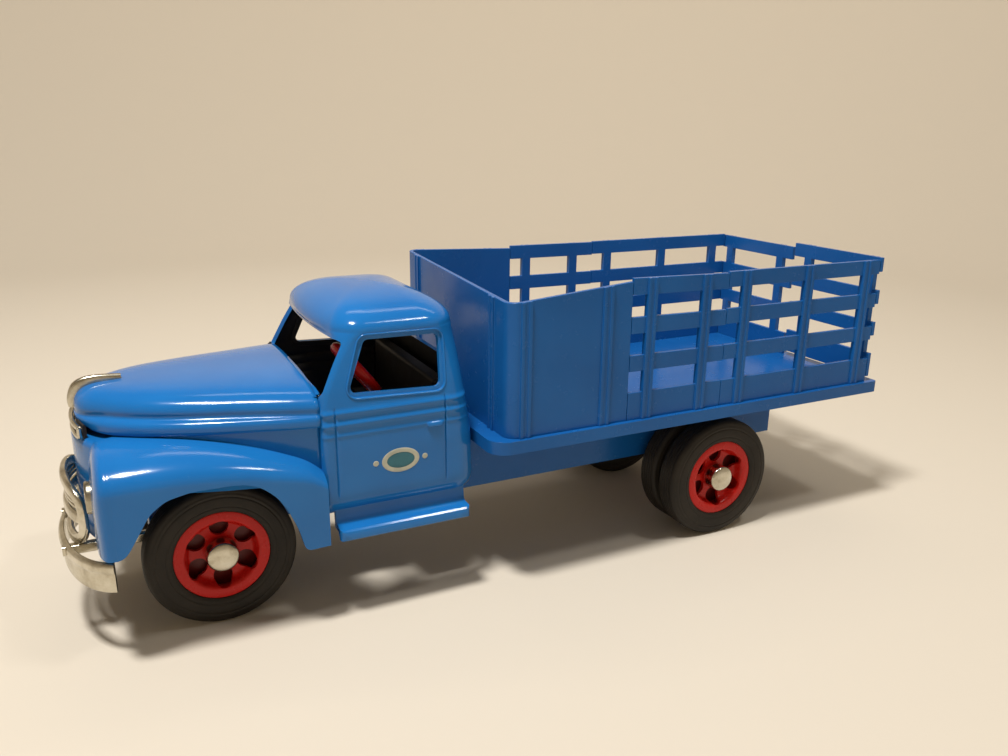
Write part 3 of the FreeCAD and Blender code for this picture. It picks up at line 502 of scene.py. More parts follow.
def cabShell():
    seamA, seamB = cab["seamShares"]
    # columns stand close together at the door seams
    near = np.array([-2.2, -1.3, -0.7, 0.0, 0.7, 1.3, 2.2]) * cab["seamWidth"] / sideLength
    side = np.concatenate([[0.0], seamA + near, np.linspace(0.08, 0.86, 29), seamB + near, [0.95]])
    columns = np.concatenate([np.linspace(0, 1, 15), 1 + np.arange(1, 9) / 9, 2 + side, 3 + np.arange(0, 8) / 8,
                              np.linspace(4, 5, 13)])
    columns = np.unique(np.round(columns, 6))
    splitA, splitB = (columns[np.argmin(abs(columns - split))] for split in cab["splits"])
    low, high = cab["ringLow"], cab["ringHigh"]
    fineFrom = cab["fineFrom"]
    rowsLow = np.concatenate([np.linspace(levelTable[0, 0], fineFrom, 16), np.linspace(fineFrom, low, 50)])
    rowsLow = np.unique(np.round(rowsLow, 5))
    rowsHigh = np.linspace(high, levelTable[-1, 0], 6)
    parts = [surface(cabPoint(columns[None, :], rows[:, None])) for rows in (rowsLow, rowsHigh)]

    # windshield: open strip from the middle plane over the top, down the pillar and back below
    rows = np.linspace(high, low, 22)
    front = columns[columns <= splitA + 1e-9]
    count = len(front) - 1
    line = roundedOutline(cab["screen"], cab["windowRadius"], [count, 21, 2, 3, 5, count - 10], closed=False)
    screen = onSurface(line, cabAcross)
    parts.append(surface(ring(walk((front, high), (splitA, rows), (front[::-1], low)), screen), flip=True))

    # side window: closed ring with a frame that is sunk a little
    sides = columns[(columns >= splitA - 1e-9) & (columns <= splitB + 1e-9)]
    cells = [21, len(sides) - 1] * 2
    wide, radius = cab["frameWidth"], cab["windowRadius"]
    opening = roundedOutline(cab["sideWindow"], radius, cells)
    lines = [roundedOutline(widened(cab["sideWindow"], by), radius + by * cab["frameRound"], cells)
             for by in (wide, wide - cab["frameLip"])]
    lines = [onSurface(line, cabAlong) for line in lines + [opening]]
    outer = walk((splitA, rows[::-1]), (sides, high), (splitB, rows), (sides[::-1], low))
    parts.append(surface(ring(outer, lines[0]), flip=True))
    sunk = np.stack([cabPoint(line[:, 0], line[:, 1]) for line in lines])
    sunk[1:, :, 1] += cab["frameSink"]
    parts.append(surface(sunk, flip=True))

    # rear window: open strip like the windshield
    back = columns[columns >= splitB - 1e-9]
    count = len(back) - 1
    line = roundedOutline(cab["rearWindow"], cab["windowRadius"], [count, 21, count], closed=False)
    outer = walk((back[::-1], high), (splitB, rows), (back, low))
    parts.append(surface(ring(outer, onSurface(line, cabBack))))

    # roof: the top outline drawn in towards its middle while it rises like a full oval
    rise = quarter(26)[:, None, None]
    edge = cabPoint(columns, np.full(len(columns), levelTable[-1, 0]))[None]
    middle = np.array([place["bed"] + cab["roofCentre"], 0.0, levelTable[-1, 0]])
    power = 2 / cab["roofFullness"]
    dome = middle + (edge - middle) * np.cos(rise) ** power
    dome[..., 2] += (cab["roofHeight"] * np.maximum(np.sin(rise), 0) ** power)[..., 0]
    dome[-1, :, :2] = middle[:2]
    return parts + [surface(dome)]


cabParts = cabShell()
# The inner face of the cab's wall is near black as painted shade: the blue walls inside the cab lie in shade
cabPiece = makePiece("cabBody", cabParts + mirrored(cabParts), bluePlastic, "truck", 40, cab["wall"], 0.25,
                     inside=darkPlasticAndPaintedShade)
print("cab made")


def sideBead():
    # Round bead on the cab's surface around the side window's frame
    wide, tall = cab["bead"]
    line = roundedOutline(widened(cab["sideWindow"], cab["frameWidth"] + cab["beadGap"]), cab["beadRadius"], [24, 36, 24, 36])
    u, z = onSurface(line, cabAlong)[:-1].T
    path = cabPoint(u, z)
    small = 1e-3
    alongU, alongZ = (cabPoint(u + a, z + b) - cabPoint(u - a, z - b) for a, b in ((small, 0), (0, small)))
    outward = unit(np.cross(alongU, alongZ))
    outward *= np.sign((outward * (path - path.mean(axis=0) * [1, 0, 1])).sum(axis=1))[:, None]
    turn = circle(10)
    profile = together(wide * np.cos(turn), cab["beadProud"] + tall * np.sin(turn))
    return [sweep(path, np.cross(tangents(path, True), outward), outward, profile, closedPath=True)]


beads = sideBead()
makePiece("windowBeads", beads + mirrored(beads), bluePlastic, "truck", 50, outwards=True)


# Door fittings: handle plate and a plain painted ornament

doorFittings = {
    "handle": (-36.4, -28.6, 80.2, 82.9), "handleProud": 0.9, "handleTilt": 0.5, "handlePowers": (0.4, 0.5),
    "ornament": (-48.5, 67.6), "oval": (8.4, 5.4), "inner": (6.2, 3.5), "dot": (1.25, 1.25), "dotReach": 11.0,
    "paleProud": 0.14, "tealProud": 0.1,
}


def onDoor(x, z, proud):
    # Points on the side of the cab, raised by a given amount
    points = cabPoint(cabAlong(x, z), z)
    points[..., 1] -= proud
    return points


def handlePlate():
    # Low pillow over a rounded rectangle: it rises like a full oval and leans outwards below
    x0, x1, z0, z1 = doorFittings["handle"]
    r = np.linspace(1, 0, 9)[:, None]
    wide, tall = fullOval(np.radians(np.linspace(0, 360, 49))[None, :], *doorFittings["handlePowers"])
    x = (x0 + x1) / 2 + r * (x1 - x0) / 2 * wide
    z = (z0 + z1) / 2 + r * (z1 - z0) / 2 * tall
    lean = 1 + ((z0 + z1) / 2 - z) * doorFittings["handleTilt"]
    return surface(onDoor(x, z, doorFittings["handleProud"] * (1 - r ** 3) ** 0.5 * lean))


def ovalPatch(x, z, outer, inner, proud):
    # Thin painted ring or oval that lies on the door
    a = np.radians(np.linspace(0, 360, 65))[None, :]
    r = np.linspace(1, 0, 7)[:, None]
    wide, tall = (inner[k] + (outer[k] - inner[k]) * r for k in (0, 1))
    return surface(onDoor(x + wide * np.cos(a), z + tall * np.sin(a), proud * np.where(r == 1, 0.0, 1.0)))


def makeDoorFittings():
    d = doorFittings
    x, z = d["ornament"]
    dots = [ovalPatch(x + way * d["dotReach"], z, d["dot"], (0, 0), d["paleProud"]) for way in (-1, 1)]
    for name, parts, material, slot in (
            ("doorHandles", [handlePlate()], bluePlastic, "blue_plastic"),
            ("doorOrnamentPale", [ovalPatch(x, z, d["oval"], d["inner"], d["paleProud"])] + dots, palePaint, "chrome"),
            ("doorOrnamentTeal", [ovalPatch(x, z, d["inner"], (0, 0), d["tealProud"])], tealPaint, "blue_plastic")):
        makePiece(name, parts + mirrored(parts), material, "truck", 50)


makeDoorFittings()


# Running boards with their risers

boardSizes = {
    "front": -77.0, "rear": -18.0, "riser": 48.6, "out": 56.5, "blend": 4.0, "endRound": 2.6,
    # section from the body down the riser, over the board and round its lip: distance out, height
    "section": [(45.6, 49.7), (47.2, 49.7), (47.7, 49.1), (48.3, 44.2), (48.7, 43.0), (49.4, 42.25), (50.6, 42.0), (54.3, 42.0),
                (55.4, 41.75), (56.15, 41.1), (56.5, 40.1), (56.5, 38.0), (56.1, 37.2), (55.6, 37.0), (54.7, 37.0), (54.7, 40.0),
                (46.6, 40.0)],
}


def runningBoard():
    # The section along the side; both ends draw in like a quarter circle
    b = boardSizes
    out, height = np.array(b["section"]).T[:, None, :]
    length, size = b["rear"] - b["front"], b["endRound"]
    near = size * (1 - np.cos(quarter(8)))
    along = np.concatenate([near, np.linspace(size, length - size, 22)[1:-1], length - near[::-1]])[:, None]
    reach = np.minimum(along, length - along)
    short = size - np.sqrt(np.maximum(0, size ** 2 - np.maximum(0, size - reach) ** 2))
    out = np.minimum(out, b["out"] - short * np.clip((out - b["riser"]) / b["blend"], 0, 1))
    points = together(place["bed"] + b["front"] + along, -out, height)
    first = np.repeat(points[:1, 4:5], points.shape[1], axis=1)
    return [surface(np.concatenate([first, points]), closed=True)]


boards = runningBoard()
makePiece("runningBoards", boards + mirrored(boards), bluePlastic, "truck", 25, 0, 0.2, outwards=True)
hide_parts("cab_shell")
print("cab trim made")


# Hood: rounded top that drops to a crease, then a second roll down to the fenders

hood = {
    # outline: x from the bed's front wall, half width
    "outline": [(-81.8, 50.1), (-92.0, 48.2), (-105.0, 45.0), (-120.0, 41.5), (-134.0, 37.3), (-147.0, 31.9),
                (-156.5, 25.7), (-163.0, 19.5), (-167.6, 12.8), (-169.9, 6.5), (-170.6, 0.0)],
    # height of the crown along the middle line
    "crown": [(-82.3, 103.4), (-105.0, 103.5), (-120.0, 103.5), (-134.0, 103.4), (-147.0, 103.1), (-158.0, 102.2)],
    # height of the crease, step out below it and bottom height, along the outline
    "crease": [(-82.3, 92.0, 1.0, 86.5), (-100.0, 92.3, 2.2, 86.5), (-120.0, 92.8, 3.0, 86.5), (-140.0, 93.0, 3.2, 86.5),
               (-156.0, 93.0, 3.0, 86.3), (-163.0, 92.6, 2.3, 86.6), (-168.0, 92.0, 0.8, 88.2), (-171.2, 91.6, 0.1, 90.2)],
    "spineBend": -136.0, "spineReach": 24.0, "fullness": 2.9, "wall": 1.8,
    # shares of the section: end of the upper roll, the step below it and the draw back at the bottom
    "roll": 0.7, "step": 0.55, "stepPower": 2.2, "backFrom": 0.75, "back": 0.9,
    "groove": 0.6, "grooveAt": 0.705, "grooveReach": 0.035, "apronStep": (0.0, 0.7, 0.4), "apronFoot": 62.0, "apronEnd": 0.56,
}


def hoodPoint(q, t):
    # q runs along the plan outline from the cab to the nose. t runs from the middle line out over the full oval
    # roll to the crease, then over the second roll to the bottom. Near the nose the middle line stops short,
    # so the roll turns round the front.
    outline = np.array(hood["outline"])
    chord = lengthAlong(outline)
    x, half = (smoothThrough(chord / chord[-1], outline[:, k], q) for k in (0, 1))
    half = np.maximum(half, 0)
    bend, spineReach = hood["spineBend"], hood["spineReach"]
    past = np.maximum(bend - x, 0)
    spine = np.where(past > 0, bend - spineReach * (1 - np.exp(-past / spineReach)), x)
    (crown,), (crease, step, bottom) = columnsAt(hood["crown"], spine), columnsAt(hood["crease"], x)
    length = np.maximum(np.hypot(x - spine, half), 1e-6)
    inward = step / length                       # the upper roll ends this share inside the outline
    turn = np.clip(t / hood["roll"], 0, 1) * np.pi / 2
    power = 2 / hood["fullness"]
    down = np.clip((t - hood["roll"]) / (1 - hood["roll"]), 0, 1)
    wide = 1 - (1 - np.clip(down / hood["step"], 0, 1)) ** hood["stepPower"]
    back = np.clip((down - hood["backFrom"]) / (1 - hood["backFrom"]), 0, 1) ** 2
    reach = np.where(down > 0, (1 - inward) + inward * wide - hood["back"] * back / length, (1 - inward) * np.sin(turn) ** power)
    groove = np.exp(-((t - hood["grooveAt"]) / hood["grooveReach"]) ** 2)
    reach = reach - hood["groove"] / length * groove * np.clip(step, 0, 1)
    z = np.where(down > 0, crease - (crease - bottom) * down, crease + (crown - crease) * np.maximum(np.cos(turn), 0) ** power)
    return together(place["bed"] + spine + (x - spine) * reach, -half * reach, z)


def hoodShell():
    roll = hood["roll"]
    q = np.concatenate([np.linspace(0, 0.7, 44), np.linspace(0.7, 1, 40)[1:]])
    t = np.concatenate([np.linspace(0, roll, 57), roll + (1 - roll) * np.linspace(0, 1, 25)[1:]])
    points = hoodPoint(q[:, None], t[None, :])
    # the crease is softened by a running mean across the section
    soft = points.copy()
    soft[:, 1:-1] = sum(points[:, k:points.shape[1] - 2 + k] for k in range(3)) / 3
    points = np.where((t > 0.6)[None, :, None], soft, points)
    # apron: from the bottom edge a little inwards and straight down to the fender's inside
    edge = points[q <= hood["apronEnd"], -1:]
    inner = edge + np.array(hood["apronStep"])
    foot = inner.copy()
    foot[..., 2] = hood["apronFoot"]
    return [surface(points, flip=True), surface(np.concatenate([edge, inner, foot], axis=1), flip=True)]


hoodParts = hoodShell()
hoodPiece = makePiece("hoodTop", hoodParts + mirrored(hoodParts), bluePlastic, "truck", 40, hood["wall"], 0)
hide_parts("hood")
print("hood made")


# Front fenders: full rolls over the wheels, cut by the wheel opening

fender = {
    # distance from the axle, outer half width, top height
    "stations": [
        (-40.2, 54.2, 85.4), (-36.0, 54.8, 85.8), (-28.0, 55.4, 86.3), (-13.0, 56.2, 86.3),
        (2.0, 56.4, 84.6), (17.0, 56.4, 81.2), (28.0, 56.3, 77.9), (35.0, 56.0, 74.8), (41.4, 55.6, 69.5),
    ],
    "inner": 24.0, "bottom": 36.5, "fullness": 2.25, "roundShare": 0.27, "roll": 0.75, "wall": 1.8,
    "opening": [(-40.2, 47.0), (-38.0, 47.0), (-35.7, 49.2), (-27.0, 64.0), (-21.0, 68.6), (-12.0, 70.7), (3.0, 70.7),
                (9.5, 69.8), (14.5, 67.5), (20.0, 62.4), (24.0, 55.6), (27.6, 47.0), (29.5, 39.7), (30.3, 36.5), (41.4, 36.5)],
    "frontDepth": 6.8, "frontFullness": 3.4,
}


def fenderEdge():
    # Lower edge of the outer side: the corners of the opening, softened by a moving average, in even steps
    corners = np.array(fender["opening"])
    length = lengthAlong(corners)
    even = np.linspace(0, length[-1], 181)
    line = np.stack([np.interp(even, length, corners[:, k]) for k in (0, 1)], 1)
    padded = np.concatenate([np.repeat(line[:1], 4, axis=0), line, np.repeat(line[-1:], 4, axis=0)])
    return sum(padded[k:k + len(line)] for k in range(9)) / 9


def fenderPoint(x, low, t):
    # t runs from the inner top edge over the roll to the lower edge of the side
    half, top = columnsAt(fender["stations"], x)
    rise = (top - fender["bottom"]) * fender["roundShare"]
    sideStart = top - rise
    power = 2 / fender["fullness"]
    turn = np.clip(t / fender["roll"], 0, 1) * np.pi / 2
    down = np.clip((t - fender["roll"]) / (1 - fender["roll"]), 0, 1)
    y = fender["inner"] + (half - fender["inner"]) * np.sin(turn) ** power
    z = np.where(down > 0, sideStart, sideStart + rise * np.maximum(np.cos(turn), 0) ** power)
    # where the opening reaches into the roll, the whole side part is drawn up to the edge
    over = np.maximum(low, sideStart)
    z = np.where(down > 0, over + (low - over) * down, np.maximum(z, over))
    return together(place["frontAxle"] + x, -y, z)


def fenderShell():
    edge = fenderEdge()
    t = np.concatenate([np.linspace(0, fender["roll"], 37), np.linspace(fender["roll"], 1, 9)[1:]])
    body = fenderPoint(edge[:, :1], edge[:, 1:], t[None, :])
    # front face: the first section drawn in towards its low inner corner while it comes forward like a full oval
    first = body[:1]
    corner = np.array([first[0, 0, 0], -fender["inner"], fender["opening"][0][1]])
    share = (1 - np.linspace(0, 1, 36) ** 3)[:, None, None]
    front = corner + (first - corner) * share
    n = fender["frontFullness"]
    front[..., 0] -= fender["frontDepth"] * (1 - share[..., 0] ** n) ** (1 / n)
    return [surface(body), surface(front[::-1])]


fenderParts = fenderShell()
makePiece("frontFenders", fenderParts + mirrored(fenderParts), bluePlastic, "truck", 40, fender["wall"], 0.3)


# Nose panel between the fenders, bowed in plan and rolled back at its top

nose = {
    "front": -172.6, "depth": 9.0, "half": 29.0, "low": 42.0, "high": 84.6, "roll": 2.6, "wall": 1.6,
    "ledge": [(4.0, 0.0), (12.0, 1.2), (26.0, 2.4)],         # steps back and up behind the top edge
}


def nosePanel():
    y = np.linspace(-nose["half"], nose["half"], 49)[None, :]
    roll, start = nose["roll"], nose["high"] - nose["roll"]
    turn = quarter(10)[1:]
    z = np.concatenate([np.linspace(nose["low"], start, 12), start + roll * np.sin(turn)])[:, None]
    over = np.clip((z - start) / roll, 0, 1)
    x = place["bed"] + nose["front"] + nose["depth"] * (y / nose["half"]) ** 2 + roll * (1 - np.sqrt(1 - over ** 2))
    points = together(x, y, z)
    ledge = [points[-1:] + np.array([back, 0, up]) for back, up in nose["ledge"]]
    return [surface(np.concatenate([points, *ledge]), flip=True)]


nosePiece = makePiece("nosePanel", nosePanel(), bluePlastic, "truck", 40, nose["wall"], 0.25)
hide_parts("front_end")
print("fenders and nose made")


# Headlamps: bright bezel round a low domed lens, set into the front of each fender

lamp = {
    "front": 169.4, "y": 33.5, "z": 66.0,
    # radius, height over the fender's front
    "bezel": [(5.2, -3.0), (5.2, -0.1), (5.35, 0.25), (5.75, 0.5), (6.15, 0.4), (6.4, 0.0), (6.5, -0.6), (6.5, -3.0),
              (5.2, -3.0)],
    "lens": 5.3, "dome": 1.1, "lensFoot": -0.3, "lensBack": -1.6,
}


def turned(profile, side, steps=72):
    # Profile points (radius, distance forward) turned about the lamp's middle line, which runs along X
    turn = circle(steps)
    radius, ahead = np.asarray(profile, float).T[:, :, None]
    ahead = place["bed"] - lamp["front"] - ahead
    return surface(together(ahead, side * lamp["y"] + radius * np.cos(turn), lamp["z"] + radius * np.sin(turn)), closed=True)


def makeLamps():
    rise = quarter(12)
    dome = together(lamp["lens"] * np.cos(rise), lamp["dome"] * np.sin(rise) + lamp["lensFoot"])
    dome[-1, 0] = 0.0
    lens = np.concatenate([[(0.0, lamp["lensBack"]), (lamp["lens"], lamp["lensBack"])], dome])
    for word, side in (("left", -1), ("right", 1)):
        bezel = makePiece(word + "LampBezel", [turned(lamp["bezel"], side)], chrome, "truck", 35, outwards=True)
        makePiece(word + "LampLens", [turned(lens, side)], lampLens, "truck", 35, outwards=True)
        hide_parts(word + "_headlamp")


makeLamps()


# Wheels: tyre, red disc with six openings, bright cap

wheel = {
    "tyreRadius": 31.0, "width": 13.0, "rim": 19.7, "faceInset": 1.2, "rimWall": 2.0, "bore": 1.66,
    # tyre: side wall's bulge, round of the shoulder, tread grooves, fine rings (radius, height, half width)
    "bulge": 0.45, "bulgePower": 0.8, "shoulder": 2.6, "grooves": (0.9, 2.7), "grooveDepth": 0.35, "grooveWidth": 0.3,
    "rings": [(22.3, -0.22, 0.3), (24.6, 0.16, 0.35), (26.6, -0.2, 0.3), (27.6, 0.1, 0.25)],
    # face of the disc: radius, height over the flat outer ring
    "face": [(19.7, -0.6), (19.45, -0.15), (19.1, 0.0), (16.2, 0.0), (15.6, -0.1), (15.1, -0.4), (14.6, -1.2), (13.9, -3.6),
             (13.4, -4.5), (12.7, -5.0), (6.4, -5.2), (5.8, -5.1), (5.3, -4.6), (5.0, -3.2), (1.66, -3.2)],
    "patchOut": 16.2, "patchIn": 6.4, "plate": 1.8, "rimDeep": 2.4, "holeCircle": 11.4, "hole": (4.15, 3.9), "holes": 6,
    "cells": 16, "stripPower": 1.4,
    "backing": -8.6, "backingWall": 1.2, "discInset": 5.0, "discWall": 2.0, "boss": 4.6,
    "frontOut": 36.0, "frontIn": 20.4, "rearOut": 59.5, "dualGap": 3.0, "rearIn": 27.4,
    # cap: radius, height over the flat outer ring
    "cap": [(5.0, -3.2), (6.7, -3.2), (6.7, 0.9), (6.55, 1.7), (6.1, 2.35), (5.3, 2.75), (3.6, 3.15), (1.8, 3.35), (0.0, 3.4)],
}


def tyreParts(centre, out, side):
    # One closed profile: bead, side wall with fine rings, round shoulder, tread with shallow grooves, and back
    bulge, shoulder = wheel["bulge"], wheel["shoulder"]
    low, high = wheel["rim"] + 1.0, wheel["tyreRadius"] - shoulder
    r = np.linspace(low, high, 40)
    wallY = out - bulge + bulge * np.sin(np.pi * np.clip((r - low) / (high - low), 0, 1)) ** wheel["bulgePower"]
    wallY = wallY + sum(size * np.exp(-((r - at) / reach) ** 2) for at, size, reach in wheel["rings"])
    turn = quarter(12)[1:]
    shoulderY = out - bulge - shoulder * (1 - np.cos(turn))
    middle = out - wheel["width"] / 2
    treadY = np.linspace(shoulderY[-1], middle, 24)[1:]
    grooves = sum(np.exp(-((treadY - middle - at) / wheel["grooveWidth"]) ** 2) for at in wheel["grooves"])
    half = np.concatenate([[(wheel["rim"], out - wheel["faceInset"])], np.stack([r, np.minimum(wallY, out)], 1),
                           np.stack([high + shoulder * np.sin(turn), shoulderY], 1),
                           np.stack([wheel["tyreRadius"] - wheel["grooveDepth"] * grooves, treadY], 1)])
    back = half[::-1] * [1, -1] + [0, 2 * middle]
    return [revolve(np.concatenate([half, back[1:], half[:1]]), centre, side, 128)]


def discParts(centre, out, deep, side):
    # Flat outer ring, sloping wall and floor, with round openings that cut into the wall. Each sixth of the face is
    # a strip between its own border and its opening; the same strips a plate's thickness behind make the back.
    face = np.array(wheel["face"])
    faceY = out - wheel["faceInset"]
    inner, outer = wheel["patchIn"], wheel["patchOut"]
    sector = 2 * np.pi / wheel["holes"]
    arc = np.linspace(-0.5, 0.5, wheel["cells"] + 1) * sector
    down = np.linspace(outer, inner, 15)
    radius, angle = walk((outer, arc), (down, arc[-1]), (inner, arc[::-1]), (down[::-1], arc[0]))[:-1].T
    flat = together(radius * np.cos(angle), radius * np.sin(angle))
    middle = np.array([wheel["holeCircle"], 0.0])
    opening = middle + unit(flat - middle) * np.array(wheel["hole"])
    share = (1 - (1 - np.linspace(0, 1, 9)) ** wheel["stripPower"])[:, None, None]
    strip = flat[None] * (1 - share) + opening[None] * share
    height = np.interp(np.linalg.norm(strip, axis=-1), face[::-1, 0], face[::-1, 1])
    turns = (np.arange(wheel["holes"]) + 0.5)[:, None, None] * sector
    x = centre[0] + strip[None, ..., 0] * np.cos(turns) - strip[None, ..., 1] * np.sin(turns)
    z = centre[1] + strip[None, ..., 0] * np.sin(turns) + strip[None, ..., 1] * np.cos(turns)
    plate, wall, bore, boss, rim = (wheel[key] for key in ("plate", "rimWall", "bore", "boss", "rim"))
    front, behind = (together(x, side * (faceY + height - back), z) for back in (0.0, plate))
    edges = np.stack([front[:, -1], behind[:, -1]], axis=1)
    parts = [surface(grid, closed=True) for group in (front, behind, edges) for grid in group]
    ringFace, bossFace = face[face[:, 0] >= outer - 1e-6], face[face[:, 0] <= inner + 1e-6]
    inLevel = deep - out
    floor = bossFace[0, 1] - plate
    ringBack = [(outer, ringFace[-1, 1] - plate), (rim - wall - 0.4, -plate - 0.1), (rim - wall, -plate - 0.6),
                (rim - wall, inLevel + wheel["rimDeep"]), (rim, inLevel + wheel["rimDeep"]), (rim, -0.6)]
    bossBack = [(bore, inLevel + wheel["faceInset"]), (boss, inLevel + wheel["faceInset"]), (boss, floor - 0.4),
                (boss + 0.4, floor), (inner, floor)]
    for profile in (np.concatenate([ringFace[::-1], ringBack[::-1]]), np.concatenate([bossFace, bossBack])):
        parts.append(revolve(profile + [0, faceY], centre, side, wheel["holes"] * wheel["cells"]))
    return parts


def backingParts(centre, out, side):
    # Plate deep inside the wheel, seen through the openings; its dark red is painted shade for the depth behind the
    # openings
    level, boss, edge = out - wheel["faceInset"] + wheel["backing"], wheel["boss"], wheel["rim"] - wheel["rimWall"]
    under = level - wheel["backingWall"]
    return [revolve([(boss, level), (edge, level), (edge, under), (boss, under), (boss, level)], centre, side)]


def innerWheel(centre, out, side):
    # Plain wheel behind the outer one of a pair: flat disc with its rim and boss
    rim, wall, inset, bore, boss, foot = (wheel[key] for key in ("rim", "rimWall", "faceInset", "bore", "boss", "rearIn"))
    disc = out - wheel["discInset"]
    back = disc - wheel["discWall"]
    inside = out - wheel["width"] + inset
    edge, corner = rim - wall, 0.6
    profile = [(bore, out), (boss, out), (boss, disc), (edge - corner, disc), (edge, disc + corner), (edge, out - inset),
               (rim, out - inset), (rim, inside), (edge, inside), (edge, back), (boss, back), (boss, foot), (bore, foot),
               (bore, out)]
    return [revolve(profile, centre, side)]


def capParts(centre, out, side):
    return [revolve(np.array(wheel["cap"]) + [0, out - wheel["faceInset"]], centre, side, 64)]


def makeWheels():
    front, rear = ((place[axle], place["axleHeight"]) for axle in ("frontAxle", "rearAxle"))
    nearOut, nearIn, out = wheel["frontOut"], wheel["frontIn"], wheel["rearOut"]
    second = out - wheel["width"] - wheel["dualGap"]
    for word, side in (("left", -1), ("right", 1)):
        for name, body, parts, material, slot, node in (
                ("FrontTyre", "_front_wheel", tyreParts(front, nearOut, side), rubber, "tyre", "_front_tyre"),
                ("FrontDisc", "_front_wheel", discParts(front, nearOut, nearIn, side), redPlastic, "red_plastic", "_front_hub"),
                ("FrontBacking", "_front_wheel", backingParts(front, nearOut, side), paintedShadeRed, "red_plastic", None),
                ("FrontCap", "_front_wheel", capParts(front, nearOut, side), chrome, "chrome", "_front_cap"),
                ("RearOuterTyre", "_rear_wheels", tyreParts(rear, out, side), rubber, "tyre", "_rear_outer_tyre"),
                ("RearInnerTyre", "_rear_wheels", tyreParts(rear, second, side), rubber, "tyre", "_rear_inner_tyre"),
                ("RearDisc", "_rear_wheels", discParts(rear, out, second, side), redPlastic, "red_plastic", "_rear_hub"),
                ("RearInnerDisc", "_rear_wheels", innerWheel(rear, second, side), redPlastic, "red_plastic", None),
                ("RearBacking", "_rear_wheels", backingParts(rear, out, side), paintedShadeRed, "red_plastic", None),
                ("RearCap", "_rear_wheels", capParts(rear, out, side), chrome, "chrome", "_rear_cap")):
            piece = makePiece(word + name, parts, material, word + body, 35, outwards=True)
            if node:
                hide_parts(word + node)


makeWheels()
print("wheels made")


# Front trim: bands that follow half an oval in plan

bumper = {
    "front": -182.5, "depth": 22.0, "half": 45.0, "cut": 44.6,
    # section: distance out, height; the flat face with a bright round band along its top
    "section": [(-2.2, 29.0), (-1.9, 28.5), (-1.3, 28.7), (-1.0, 29.4), (-0.9, 32.0), (-0.9, 36.2), (-0.75, 36.9), (-0.3, 37.5),
                (-0.05, 38.3), (0.0, 39.2), (-0.15, 40.2), (-0.6, 41.0), (-1.3, 41.45), (-2.0, 41.5), (-2.4, 41.2),
                (-2.5, 38.0), (-2.5, 32.0)],
    "bracket": {"front": -181.0, "rear": -148.0, "out": 18.8, "height": 39.0, "size": 4.0, "round": 0.8},
}
grille = {
    "front": -177.5, "depth": 12.0, "half": 28.0, "wide": 26.0, "low": 39.0, "high": 67.4, "fullness": 3.6,
    "border": 4.6, "thick": 3.0, "barHeight": 5.4, "barZ": 53.0, "slats": 3, "slatHeight": 1.4, "slatThick": 1.2,
}
upwards = np.array([0, 0, 1.0])


def bandPath(band, y, z):
    # Points and their outward direction on half an oval in plan
    short = 1 - (y / band["half"]) ** 2
    x = place["bed"] + band["front"] + band["depth"] * (1 - np.sqrt(np.maximum(0, short)))
    slope = band["depth"] * y / band["half"] ** 2 / np.sqrt(np.maximum(0.02, short))
    outward = unit(np.stack([-np.ones_like(y), slope, np.zeros_like(y)], 1))
    return together(x, y, z), outward


def bracketBar(side):
    # Bar along X with a round-cornered square section
    b = bumper["bracket"]
    turn = np.radians(np.arange(0, 360, 15) + 7.5)
    turn = together(np.cos(turn), np.sin(turn))
    x = place["bed"] + np.linspace(b["front"], b["rear"], 5)
    path = together(x, side * b["out"], b["height"])
    return sweep(path, [0, 1.0, 0], upwards, np.sign(turn) * (b["size"] / 2 - b["round"]) + b["round"] * turn)


def ovalBar(width, thickness):
    # Flat-oval section of a bar: across, out
    turn = circle(24)
    return np.stack(fullOval(turn, 0.75, 0.75), 1) * [width / 2, thickness / 2]


def bumperParts():
    y = bumper["cut"] * np.sin(np.radians(np.linspace(-90, 90, 97)))
    path, outward = bandPath(bumper, y, 0.0)
    return [sweep(path, outward, upwards, bumper["section"]), bracketBar(-1), bracketBar(1)]


def grilleParts():
    # Full-oval border with a broad bar across it and slats above the bar
    g = grille
    middle, half = (g["low"] + g["high"]) / 2, (g["high"] - g["low"]) / 2
    wide, tall = g["wide"] - g["border"] / 2, half - g["border"] / 2
    across, up = fullOval(circle(120), 2 / g["fullness"], 2 / g["fullness"])
    path, outward = bandPath(g, wide * across, middle + tall * up)
    section = ovalBar(g["border"], g["thick"])
    parts = [sweep(path, unit(np.cross(tangents(path, True), outward)), outward, section, closedPath=True)]
    top = g["barZ"] + g["barHeight"] / 2
    gap = (middle + half - g["border"] - top) / (g["slats"] + 1)
    slats = [(top + gap * (k + 1), g["slatHeight"], g["slatThick"]) for k in range(g["slats"])]
    for height, size, thick in [(g["barZ"], g["barHeight"], g["thick"])] + slats:
        reach = wide * (1 - (abs(height - middle) / tall) ** g["fullness"]) ** (1 / g["fullness"])
        path, outward = bandPath(g, np.linspace(-reach, reach, 49), height)
        parts.append(sweep(path, upwards, outward, ovalBar(size, thick)))
    return parts


bumperPiece = makePiece("frontBumper", bumperParts(), chrome, "truck", 30, outwards=True)
grillePiece = makePiece("frontGrille", grilleParts(), chrome, "truck", 50, outwards=True)
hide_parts("bumper")
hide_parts("grille")
print("bumper and grille made")


# Ornament on the hood: slim raised bar along the crown and down the nose

ornament = {
    # outline of its top: distance from the bed's front wall, height
    "top": [(-151.4, 104.6), (-156.0, 105.0), (-160.4, 105.2), (-166.4, 104.5), (-169.9, 102.5), (-171.7, 99.2), (-172.4, 95.8),
            (-172.1, 93.0)],
    # section: distance across, height over the top line
    "section": [(-1.3, -4.4), (-1.5, -1.5), (-1.4, -0.8), (-1.05, -0.25), (-0.5, 0), (0.5, 0), (1.05, -0.25), (1.4, -0.8),
                (1.5, -1.5), (1.3, -4.4)],
}


